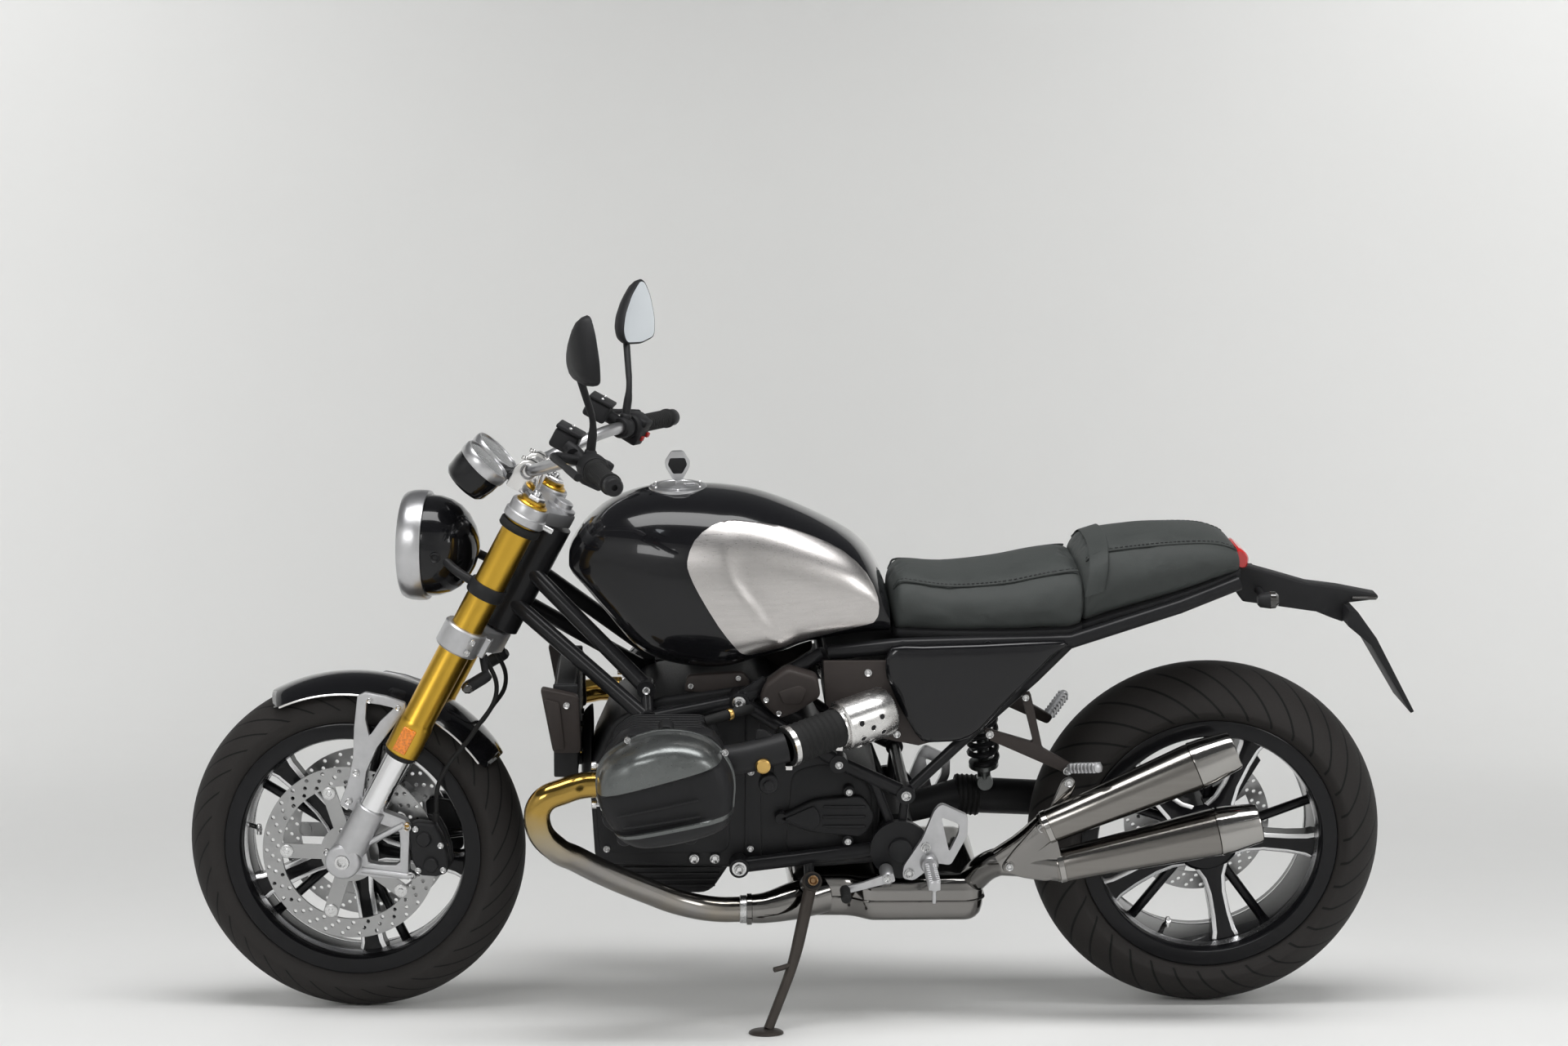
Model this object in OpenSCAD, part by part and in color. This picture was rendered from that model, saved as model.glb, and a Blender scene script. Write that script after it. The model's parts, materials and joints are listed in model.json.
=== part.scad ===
// Standard motorcycle with a flat twin engine and shaft drive, parked on its side stand.
// Millimetres. X runs rearwards, Y to the rider's right, Z up, ground at Z = 0.
// Pieces are drawn upright about the middle of the wheelbase, then steered and leaned.

/* [Overall] */
// Distance between the wheel axles
wheelbase = 1511; // [1450:1:1580]
// Lean towards the side stand in degrees
lean = 11.8; // [9:0.1:13]
// Steering angle at rest in degrees, negative towards the right
steer_rest = -6.9; // [-10:0.1:10]
// Shift that puts the origin under the middle of the outline, along X
centre_x = -28; // [-60:1:60]
// Shift that puts the origin under the middle of the outline, along Y
centre_y = 167; // [50:1:250]

/* [Wheels] */
// Front tyre outer radius
front_tyre_r = 300; // [290:1:310]
// Front tyre section width
front_tyre_w = 120; // [110:1:122]
// Front tyre crown radius
front_crown_r = 62; // [62:1:70]
// Rear tyre outer radius
rear_tyre_r = 315; // [305:1:325]
// Rear tyre section width
rear_tyre_w = 180; // [160:1:182]
// Rear tyre crown radius
rear_crown_r = 95; // [93:1:105]
// Bead seat radius of both rims
rim_r = 216; // [205:1:220]
// Half width between the front beads
front_bead = 46; // [42:1:50]
// Half width between the rear beads
rear_bead = 70; // [62:1:72]
// Wide spokes on each wheel
spoke_count = 5; // [4:1:7]
// Front brake disc radius
front_disc_r = 155; // [140:1:160]
// Rear brake disc radius
rear_disc_r = 132; // [120:1:140]
// Brake disc thickness
disc_t = 5; // [4:0.5:6]
// Gap between each disc face and its caliper
pad_gap = 5; // [2:0.5:6]
// Front axle radius
axle_r = 12.5; // [10:0.5:15]
// Bore through the hollow front axle, radius
axle_bore_r = 8.5; // [6:0.5:9]
// Bore through the rear hub, radius
hub_bore_r = 25; // [20:0.5:26]
// Radial running clearance of shafts and pins
running_gap = 0.05; // [0.02:0.01:0.1]
// Gap between pieces that seat on each other
seat_gap = 0.3; // [0.1:0.05:0.5]

/* [Fork] */
// Steering head angle from the vertical in degrees
rake = 27.7; // [25:0.1:30]
// Distance of the front axle and fork tubes ahead of the steering axis
fork_offset = 41.4; // [35:0.1:48]
// Half distance between the fork tubes
fork_spread = 104; // [100:1:112]
// Radius of the upper fork tubes
tube_r = 28; // [26:0.5:30]
// Radius of the lower fork tubes
stanchion_r = 22.5; // [20:0.5:24]
// Height of the lower fork clamp's underside above the axle, along the fork
lower_clamp_z = 428; // [420:1:440]
// Thickness of the lower fork clamp
lower_clamp_h = 45; // [35:1:50]
// Height of the upper fork clamp's underside above the axle, along the fork
upper_clamp_z = 682; // [670:1:700]
// Thickness of the upper fork clamp
upper_clamp_h = 34; // [28:1:40]
// Steering stem radius
stem_r = 14; // [12:0.5:16]
// Steering head tube radius
head_r = 34; // [30:1:38]

/* [Handlebar] */
// Half width of the handlebar over its weights
bar_half_w = 425; // [400:1:440]
// Handlebar tube radius
bar_r = 11; // [10:0.5:14]
// Grip radius
grip_r = 17; // [15:0.5:19]
// Grip length
grip_l = 118; // [110:1:125]
// Headlight rim radius
lamp_r = 96; // [85:1:100]
// Gauge radius
gauge_r = 46; // [40:1:50]

/* [Bodywork] */
// Widest half width of the tank
tank_half_w = 166; // [150:1:180]
// Fuel filler ring outer radius
filler_r = 50; // [44:1:54]
// Filler neck radius
neck_r = 27; // [22:1:30]
// Rider seat half width
seat_half_w = 138; // [125:1:150]
// Pillion seat half width
pillion_half_w = 122; // [110:1:135]
// Radius of the seat rails
rail_r = 13; // [10:0.5:15]

/* [Engine] */
// Half width of the crankcase
case_half_w = 123; // [115:1:124]
// Half width of the engine over its valve covers
engine_half_w = 400; // [385:1:420]
// Forward shift of the left cylinder against the right one
cylinder_stagger = 30; // [0:1:40]
// Exhaust header radius
header_r = 22; // [18:0.5:24]
// Silencer radius at its mouth
silencer_r = 36; // [30:0.5:40]

/* [Frame] */
// Radius of the main frame tubes
frame_r = 14; // [12:0.5:16]
// Radius of the swingarm pivot tube
pivot_r = 22; // [18:0.5:24]
// Side stand pivot pin radius
stand_pin_r = 8; // [6:0.5:9]
// Side stand leg radius
stand_leg_r = 9; // [8:0.5:11]

/* [Hidden] */
$fn = 48;

front_axle_x = -wheelbase / 2;
rear_axle_x = wheelbase / 2;
// Direction of the steering axis, upwards
steer_dir = [sin(rake), 0, cos(rake)];
// Foot of the front axle on the steering axis
fork_o = [front_axle_x + fork_offset * cos(rake), 0, front_tyre_r - fork_offset * sin(rake)];

// Turns a vector about a unit axis
function turned(v, k, a) = v * cos(a) + cross(k, v) * sin(a) + k * (k * v) * (1 - cos(a));
// A point of the front end after steering
function steered_pt(p) = fork_o + turned(p - fork_o, steer_dir, steer_rest);
// Lowest point of a round tyre with the given axle centre and axle direction
function tyre_low(c, a, r, crown) = c.z - (r - crown) * sqrt(1 - a.z * a.z) - crown;
x_axis = [1, 0, 0];
function leaned(v) = turned(v, x_axis, lean);
front_c = leaned(steered_pt([front_axle_x, 0, front_tyre_r]));
rear_c = leaned([rear_axle_x, 0, rear_tyre_r]);
front_dir = leaned(turned([0, 1, 0], steer_dir, steer_rest));
rear_dir = leaned([0, 1, 0]);
front_low = tyre_low(front_c, front_dir, front_tyre_r, front_crown_r);
rear_low = tyre_low(rear_c, rear_dir, rear_tyre_r, rear_crown_r);
// Pitch and drop that bring both tyres down on the ground
pitch = asin((rear_low - front_low) / (rear_c.x - front_c.x));
drop = -(front_low - front_c.x * sin(pitch));
function parked_pt(p) = turned(leaned(p), [0, 1, 0], pitch) + [centre_x, centre_y, drop];

module parked() {
  translate([centre_x, centre_y, drop])
    rotate([0, pitch, 0])
      rotate([lean, 0, 0])
        children();
}
module steered() {
  parked()
    translate(fork_o)
      rotate(a = steer_rest, v = steer_dir)
        translate(-fork_o)
          children();
}
// Local frame of the fork: origin on the steering axis level with the axle, Z up the axis
module fork() {
  steered()
    translate(fork_o)
      rotate([0, rake, 0])
        children();
}
// Upright frame at a place given in the fork's frame
module upright_on_fork(p) {
  fork()
    translate(p)
      rotate([0, -rake, 0])
        children();
}
module at_front_axle() {
  upright_on_fork([-fork_offset, 0, 0])
    children();
}
module at_rear_axle() {
  parked()
    translate([rear_axle_x, 0, rear_tyre_r])
      children();
}
module both() {
  children();
  mirror([0, 1, 0])
    children();
}
// Round bar between two points
module rod(a, b, r, r2 = -1) {
  v = b - a;
  l = norm(v);
  translate(a)
    rotate([0, acos(v.z / l), atan2(v.y, v.x)])
      cylinder(h = l, r1 = r, r2 = r2 < 0 ? r : r2);
}
// Bent tube through points, with ball corners
module pipe(pts, r) {
  for (i = [0 : len(pts) - 2])
    rod(pts[i], pts[i + 1], r);
  for (i = [1 : 1 : len(pts) - 2])
    translate(pts[i])
      sphere(r = r + 0.2);
}
// Flat plate with an outline of [x, z] points between two Y values
module slab(pts, y0, y1) {
  translate([0, y1, 0])
    rotate([90, 0, 0])
      linear_extrude(height = y1 - y0)
        polygon(pts);
}
// Round body on the Y axis between two Y values
module drum(r, y0, y1) {
  translate([0, y0, 0])
    rotate([-90, 0, 0])
      cylinder(h = y1 - y0, r = r);
}
// Closed skin through rings of equally many points
module loft(rings) {
  n = len(rings[0]);
  m = len(rings);
  skin = [for (i = [0 : m - 2], j = [0 : n - 1])
    [i * n + j, i * n + (j + 1) % n, (i + 1) * n + (j + 1) % n, (i + 1) * n + j]];
  polyhedron(
    points = [for (ring = rings, p = ring) p],
    faces = concat([[for (j = [n - 1 : -1 : 0]) j]], skin, [[for (j = [0 : n - 1]) (m - 1) * n + j]])
  );
}
// Point on the smooth curve from b to c, with neighbours a and d
function between(a, b, c, d, t) = 0.5 * (2 * b + (c - a) * t + (2 * a - 5 * b + 4 * c - d) * t * t
  + (3 * b - a - 3 * c + d) * t * t * t);
// Rows with others between them on a smooth curve
function smooth_rows(rows, steps) = let (last = len(rows) - 1)
  concat([for (i = [0 : last - 1], k = [0 : steps - 1])
    between(rows[max(i - 1, 0)], rows[i], rows[i + 1], rows[min(i + 2, last)], k / steps)], [rows[last]]);
// Closed outline with others between its points on a smooth curve
function smooth_loop(pts, steps) = let (n = len(pts))
  [for (i = [0 : n - 1], k = [0 : steps - 1])
    between(pts[(i + n - 1) % n], pts[i], pts[(i + 1) % n], pts[(i + 2) % n], k / steps)];
function power(v, e) = sign(v) * pow(abs(v), e);
// Rounded section across X: half width, level of the widest part, top, bottom, squareness
function section(x, hw, zw, zt, zb, nt, nb, count) = [for (i = [0 : count - 1])
  let (a = 360 * i / count, up = sin(a) >= 0, n = up ? nt : nb)
    [x, -hw * power(cos(a), 2 / n), zw + (up ? zt - zw : zw - zb) * power(sin(a), 2 / n)]];

module tyre(r, w, crown, bead) {
  shoulder = r - crown + sqrt(crown * crown - w * w / 4);
  lip = rim_r + 14;
  rotate([90, 0, 0])
    rotate_extrude() {
      intersection() {
        translate([r - crown, 0])
          circle(r = crown);
        translate([shoulder, -w / 2])
          square([crown, w]);
      }
      polygon([[rim_r, -bead], [lip, -bead], [shoulder, -w / 2], [shoulder + 8, 8 - w / 2],
        [shoulder + 8, w / 2 - 8], [shoulder, w / 2], [lip, bead], [rim_r, bead]]);
    }
}
// Rim barrel with drop centre and lips
module barrel(bead) {
  seat = rim_r - seat_gap;
  edge = bead + seat_gap;
  half = [[rim_r - 22, bead - 24], [rim_r - 16, bead - 14], [rim_r - 16, bead + 6], [rim_r + 13, bead + 6],
    [rim_r + 13, edge], [seat, edge], [seat, bead - 18], [rim_r - 10, bead - 26]];
  rotate([90, 0, 0])
    rotate_extrude()
      polygon(concat(half, [for (i = [len(half) - 1 : -1 : 0]) [half[i].x, -half[i].y]]));
}
// Half outline of a wide spoke from hub to rim, [x, half width]
function spoke_side(foot, tip) = [[foot, 18], [foot + 26, 21], [foot + 66, 17], [tip - 44, 18], [tip, 27]];
// Half outline of the pocket in its left face
function pocket_side(foot, tip) = [[foot + 40, 9], [foot + 66, 9], [tip - 44, 10], [tip - 14, 15]];
function both_sides(half) = concat(half, [for (i = [len(half) - 1 : -1 : 0]) [half[i].x, -half[i].y]]);
// Wide pocketed spokes from the hub to the barrel, each with a thin one beside it
module spokes(hub_r, y0, y1, first, partner) {
  tip = rim_r - 17;
  foot = hub_r - 14;
  pocket_d = 7;
  thin_w = 6;
  for (i = [0 : spoke_count - 1])
    rotate([0, -first - i * 360 / spoke_count, 0]) {
      difference() {
        slab(both_sides(spoke_side(foot, tip)), y0, y1);
        slab(both_sides(pocket_side(foot, tip)), y0 - 1, y0 + pocket_d);
      }
      rotate([0, -partner, 0])
        slab([[foot, thin_w], [tip, thin_w], [tip, -thin_w], [foot, -thin_w]], y0 + 17, y1 - 4);
    }
}
// Flat ring
module ring(outer, inner) {
  difference() {
    circle(r = outer);
    circle(r = inner);
  }
}
// Drilled disc band on a thinner five armed carrier
module brake_disc(r, band, hub_in, hub_out, y0, hole_rows) {
  hole_r = 3.5;
  hole_count = 30;
  arm_count = 5;
  step = 0.5;
  translate([0, y0 + disc_t, 0])
    rotate([90, 0, 0]) {
      linear_extrude(height = disc_t)
        difference() {
          ring(r, r - band);
          for (i = [0 : hole_count - 1], k = [0 : hole_rows - 1])
            rotate((i + k / hole_rows) * 360 / hole_count)
              translate([r - band * (k + 0.7) / (hole_rows + 0.4), 0])
                circle(r = hole_r);
        }
      translate([0, 0, step])
        linear_extrude(height = disc_t - 2 * step)
          ring(hub_out, hub_in);
      for (i = [0 : arm_count - 1])
        rotate(i * 360 / arm_count + 36)
          translate([hub_out - 5, -13, 2 * step])
            cube([r - band - hub_out + 8, 26, disc_t - 4 * step]);
    }
}

// Wheels
front_hub_y = 66;
foot_in_y = fork_spread - 27;
module front_tyre() {
  color("#1c1c1d")
    at_front_axle()
      tyre(front_tyre_r, front_tyre_w, front_crown_r, front_bead);
}
module front_rim() {
  hub_r = 42;
  color("#161618")
    at_front_axle()
      difference() {
        union() {
          barrel(front_bead);
          spokes(hub_r, -20, 16, 134, 23);
          drum(hub_r, -front_hub_y, front_hub_y);
        }
        drum(axle_r + running_gap, -front_hub_y - 1, front_hub_y + 1);
      }
}
module front_discs() {
  color("#a9abad")
    at_front_axle()
      both()
        brake_disc(front_disc_r, 34, 30, 52, front_hub_y, 3);
}
module rear_tyre() {
  color("#1c1c1d")
    at_rear_axle()
      tyre(rear_tyre_r, rear_tyre_w, rear_crown_r, rear_bead);
}
rear_hub_in = -42;
rear_hub_out = 58;
quill_r = hub_bore_r + 5;
drive_in = 72;
drive_out = 160;
module rear_rim() {
  hub_r = 62;
  color("#161618")
    at_rear_axle()
      difference() {
        union() {
          barrel(rear_bead);
          spokes(hub_r, -40, 6, 283, 24);
          drum(hub_r, rear_hub_in, rear_hub_out);
          drum(quill_r, rear_hub_out - 1, drive_out + 2);
        }
        drum(hub_bore_r, rear_hub_in - 1, drive_out + 3);
      }
}
module rear_disc() {
  color("#a9abad")
    at_rear_axle()
      brake_disc(rear_disc_r, 32, quill_r + 6, 66, rear_hub_out, 3);
}

// Fork
foot_top = 105;
tube_bottom = 218;
tube_top = upper_clamp_z + upper_clamp_h + 4;
module on_each_leg() {
  fork()
    for (s = [-1, 1])
      translate([-fork_offset, s * fork_spread, 0])
        children();
}
module fork_tubes() {
  color("#b8860b")
    on_each_leg()
      difference() {
        union() {
          translate([0, 0, tube_bottom])
            cylinder(h = tube_top - tube_bottom, r = tube_r);
          translate([0, 0, tube_bottom])
            cylinder(h = 60, r = tube_r + 2.5);
          translate([0, 0, tube_top - 1])
            cylinder(h = 18, r = tube_r - 6);
        }
        translate([0, 0, tube_bottom - 1])
          cylinder(h = 100, r = stanchion_r + seat_gap);
      }
}
module fork_stanchions() {
  color("#d8dade")
    on_each_leg()
      translate([0, 0, 60])
        cylinder(h = tube_bottom + 98 - 60, r = stanchion_r);
}
// Caliper outline about the axle, [x, z]
caliper = [[110, 66], [160, 66], [180, 20], [182, -22], [131, -28], [116, 20]];
module fork_feet() {
  arm_y0 = fork_spread - 16;
  arm_y1 = fork_spread + 6;
  color("#b9bbbd")
    difference() {
      union() {
        on_each_leg()
          translate([0, 0, 20])
            cylinder(h = foot_top - 20, r = tube_r - 1);
        at_front_axle()
          both() {
            drum(31, foot_in_y, fork_spread + 27);
            difference() {
              slab([[-8, 24], [30, 98], [112, 72], [118, 50], [114, -24], [132, -30], [20, -26]], arm_y0, arm_y1);
              slab([[34, 30], [52, 66], [98, 48], [98, -6], [40, -6]], arm_y0 - 1, arm_y1 + 1);
            }
          }
      }
      on_each_leg()
        translate([0, 0, 59])
          cylinder(h = foot_top, r = stanchion_r + seat_gap);
      at_front_axle()
        drum(axle_r + 0.1, -fork_spread - 40, fork_spread + 40);
      at_front_axle()
        both()
          slab(caliper, arm_y0 - 40, arm_y1 + 40);
    }
}
module front_axle() {
  color("#8d9094")
    at_front_axle()
      difference() {
        union() {
          drum(axle_r, -fork_spread - 29, fork_spread + 29);
          both()
            drum(axle_r + 6, front_hub_y + 0.5, foot_in_y - seat_gap);
        }
        drum(axle_bore_r, -fork_spread - 30, fork_spread + 30);
      }
}
// Flat outline that joins the two tube bosses and the stem boss
module clamp_outline(boss_r, stem_boss_r) {
  for (s = [-1, 1])
    translate([-fork_offset, s * fork_spread])
      circle(r = boss_r);
  circle(r = stem_boss_r);
  polygon([[-fork_offset - 16, -fork_spread], [-fork_offset - 16, fork_spread], [-8, fork_spread],
    [22, 12], [22, -12], [-8, -fork_spread]]);
}
module tube_holes(z0, h) {
  for (s = [-1, 1])
    translate([-fork_offset, s * fork_spread, z0 - 1])
      cylinder(h = h + 2, r = tube_r + 0.1);
}
module lower_clamp() {
  color("#b4b6b8")
    fork() {
      difference() {
        translate([0, 0, lower_clamp_z])
          linear_extrude(height = lower_clamp_h)
            clamp_outline(tube_r + 10, 34);
        tube_holes(lower_clamp_z, lower_clamp_h);
      }
      translate([0, 0, lower_clamp_z + lower_clamp_h - 1])
        cylinder(h = upper_clamp_z - lower_clamp_z - lower_clamp_h + 10, r = stem_r);
    }
}
// Centre of the handlebar in the fork's frame
bar_mid = [-76, 0, 752];
bar_mid_r = 14;
riser_y = 42;
module upper_clamp() {
  color("#b4b6b8")
    fork()
      difference() {
        union() {
          translate([0, 0, upper_clamp_z])
            linear_extrude(height = upper_clamp_h)
              clamp_outline(tube_r + 8, 30);
          for (s = [-1, 1])
            translate([bar_mid.x - 20, s * riser_y - 13, upper_clamp_z + upper_clamp_h - 1])
              cube([44, 26, bar_mid.z - upper_clamp_z - upper_clamp_h + 22]);
        }
        tube_holes(upper_clamp_z, upper_clamp_h);
        translate([0, 0, upper_clamp_z - 1])
          cylinder(h = upper_clamp_h - 8, r = stem_r + 0.1);
        translate(bar_mid)
          drum(bar_mid_r + 0.1, -100, 100);
      }
}

// Handlebar, half a bar from the middle to the weight, in the fork's frame
grip_in = [38, bar_half_w - 140, 855];
grip_dir = [0.31, 0.94, 0.13] / norm([0.31, 0.94, 0.13]);
function along_bar(d) = grip_in + grip_dir * d;
bar_bend = along_bar(-133);
module handlebar() {
  color("#c9cbcc")
    fork() {
      translate(bar_mid)
        drum(bar_mid_r, -66, 66);
      both() {
        rod([bar_mid.x, 66, bar_mid.z], bar_bend, bar_mid_r - 1, bar_r);
        translate([bar_mid.x, 66, bar_mid.z])
          sphere(r = bar_mid_r + 0.2);
        translate(bar_bend)
          sphere(r = bar_r + 0.2);
        rod(bar_bend, along_bar(grip_l + 4), bar_r);
      }
    }
}
module grips() {
  color("#222224")
    fork()
      both()
        difference() {
          union() {
            rod(along_bar(2), along_bar(grip_l), grip_r);
            rod(along_bar(2), along_bar(8), grip_r + 4);
            rod(along_bar(grip_l - 1), along_bar(grip_l + 26), grip_r - 1);
          }
          rod(along_bar(0), along_bar(grip_l + 5), bar_r + 0.1);
        }
}
// Switch housings, fluid reservoirs and hand levers
module hand_controls() {
  perch = along_bar(-62);
  color("#1d1d1f")
    fork()
      both()
        difference() {
          union() {
            rod(along_bar(-46), along_bar(1), 25);
            rod(along_bar(-78), along_bar(-50), 19);
            rod(along_bar(-52), along_bar(-44), 16);
            rod(perch + [-16, 0, 0], perch + [-52, -16, 10], 12);
            rod(perch + [-54, -32, -14], perch + [-54, -32, 34], 24);
            rod(perch + [-10, 8, 0], perch + [-62, 40, -8], 9);
            rod(perch + [-62, 40, -8], along_bar(50) + [-66, 0, -14], 8, 6);
            rod(along_bar(50) + [-66, 0, -14], along_bar(grip_l) + [-52, 0, -16], 6, 5);
            translate(perch + [-62, 40, -8])
              sphere(r = 9.3);
            translate(along_bar(50) + [-66, 0, -14])
              sphere(r = 6.3);
            translate(along_bar(grip_l) + [-52, 0, -16])
              sphere(r = 8);
          }
          rod(along_bar(-90), along_bar(10), bar_r + 0.1);
        }
}
module mirrors() {
  base = along_bar(-62) + [-4, 0, 20.5];
  knee = base + [-22, 4, 48];
  head = [-58, bar_half_w - 128, 990];
  // Mirror head from its back to the glass, [x, half width, half height]
  shell = [[-24, 20, 12], [-19, 36, 23], [-8, 52, 33], [4, 58, 37], [10, 56, 36], [12, 52, 33]];
  color("#1b1b1d")
    fork()
      both() {
        rod(base, knee, 8);
        translate(knee)
          sphere(r = 8.3);
        rod(knee, head, 6);
        translate(head + [-6, 20, 34])
          rotate([0, -rake - 4, 12])
            rotate([14, 0, 0])
              loft([for (row = shell) section(row[0], row[1], 0, row[2], -row[2], 2.6, 2.2, 24)]);
      }
}

// Headlight and gauges
lamp_at = [-159, 0, 548];
module headlight() {
  arm_z = 546;
  color("#101012") {
    upright_on_fork(lamp_at)
      rotate([0, 90, 0])
        rotate_extrude()
          polygon([[0, -20], [lamp_r - 6, -20], [lamp_r - 6, -14], [lamp_r - 10, 10], [lamp_r - 22, 36],
            [lamp_r - 44, 58], [lamp_r - 62, 68], [0, 72]]);
    fork()
      difference() {
        both() {
          translate([-fork_offset, fork_spread, arm_z - 12])
            cylinder(h = 24, r = tube_r + 5);
          rod([-fork_offset - 26, fork_spread - 8, arm_z], [lamp_at.x + 30, lamp_r - 30, arm_z], 9);
        }
        tube_holes(arm_z - 12, 24);
      }
  }
}
module headlight_rim() {
  color("#b7b9bb")
    upright_on_fork(lamp_at)
      rotate([0, 90, 0])
        rotate_extrude()
          polygon([[0, -22], [0, -46], [40, -44], [lamp_r - 14, -36], [lamp_r - 12, -58], [lamp_r - 4, -56],
            [lamp_r, -40], [lamp_r - 1, -16], [lamp_r - 6 + seat_gap, -16], [lamp_r - 6 + seat_gap, -20.3],
            [lamp_r - 14, -20.3]]);
}
gauge_at = [-147, 0, 733];
module gauges() {
  color("#121214") {
    upright_on_fork(gauge_at)
      for (s = [-1, 1])
        translate([0, s * (gauge_r + 3), 0])
          rotate([0, 45, 0])
            rotate_extrude()
              polygon([[0, -62], [gauge_r - 14, -62], [gauge_r - 4, -52], [gauge_r - 2, -14], [gauge_r, -12],
                [gauge_r, 2], [gauge_r - 4, 4], [gauge_r - 6, 0], [0, 0]]);
    fork()
      rod([bar_mid.x - 20.3, 0, bar_mid.z - 24], gauge_at + [-6, 0, -34], 9);
    fork()
      rod([bar_mid.x - 27.3, -56, bar_mid.z - 24], [bar_mid.x - 27.3, 56, bar_mid.z - 24], 7);
    upright_on_fork(gauge_at)
      rod([-24, -40, -24], [-24, 40, -24], 12);
  }
}

// Front mudguard, brackets, calipers, hoses and lamps
fender_in = front_tyre_r + 7;
fender_from = -28;
fender_to = 57;
fender_half_w = 68;
fender_wall = 4;
fender_section_r = 110;
// Radius of the mudguard's side edge
fender_side = sqrt(pow(fender_section_r, 2) - pow(fender_half_w, 2));
fender_edge = fender_in + fender_wall / 2 - fender_section_r + fender_side;
module front_fender() {
  color("#0f0f11")
    at_front_axle()
      rotate([90, 0, 0])
        rotate([0, 0, 90 - fender_to])
          rotate_extrude(angle = fender_to - fender_from)
            intersection() {
              difference() {
                translate([fender_in + fender_wall - fender_section_r, 0])
                  circle(r = fender_section_r);
                translate([fender_in - fender_section_r, 0])
                  circle(r = fender_section_r);
              }
              translate([fender_in - 60, -fender_half_w])
                square([100, fender_half_w * 2]);
            }
}
module fender_brackets() {
  plate_in = foot_in_y;
  color("#bdbfc1")
    at_front_axle()
      both() {
        difference() {
          slab([[-14, 92], [16.8, 76.2], [28.3, 98.1], [38, 160], [108, 264], [106, 278], [34, 294], [22, 286], [14, 172]],
            plate_in, plate_in + 9);
          slab([[43, 214], [86, 268], [38, 274]], plate_in - 1, plate_in + 10);
        }
        for (a = [7, 19])
          rotate([0, a, 0])
            translate([0, 0, fender_edge - 1])
              drum(6, fender_half_w + seat_gap, plate_in + 1);
      }
}
module front_calipers() {
  inner = front_hub_y - 20;
  outer = fork_spread + 4;
  color("#1a1a1b")
    at_front_axle()
      both()
        difference() {
          slab([for (p = caliper) [p.x + (p.x < 125 ? seat_gap : 0), p.y]], inner, outer);
          drum(front_disc_r + pad_gap, front_hub_y - pad_gap, front_hub_y + disc_t + pad_gap);
        }
}
hose_route = [[4, 40, 424.8], [52, 48, 380], [52, 74, 306], [40, 88, 200], [62, 86, 142]];
module brake_hoses() {
  color("#141415")
    fork()
      both()
        pipe(hose_route, 4);
}
module front_signals() {
  color("#2a2a2c")
    fork()
      both() {
        rod([4, 74, lower_clamp_z - 0.3], [26, 88, lower_clamp_z - 22], 8);
        translate([26, 88, lower_clamp_z - 22])
          sphere(r = 11);
        rod([26, 88, lower_clamp_z - 22], [2, 96, lower_clamp_z - 62], 11, 9);
      }
}

// Frame
function on_axis(z) = fork_o + steer_dir * z;
node_a = [-237, 148, 573];
node_b = [-240, 126, 622];
node_c = [-82, 148, 606];
node_d = [91, 140, 492];
node_j = [208, 138, 435];
pivot = [199, 0, 338];
low_front = [-80, 140, 304];
rail = [[60, 115, 680], [200, 125, 697], [489, 128, 705], [676, 112, 762], [782, 92, 799]];
tail_x = 776;
// Cross tubes that carry the tank's rear end and the shock
cross_r = 9;
cross_half_w = 141;
tank_seat = [60, 112, 681.2];
shock_top = [345, 50, 699];
function out_y(p, y) = [p.x, y, p.z];
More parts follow.
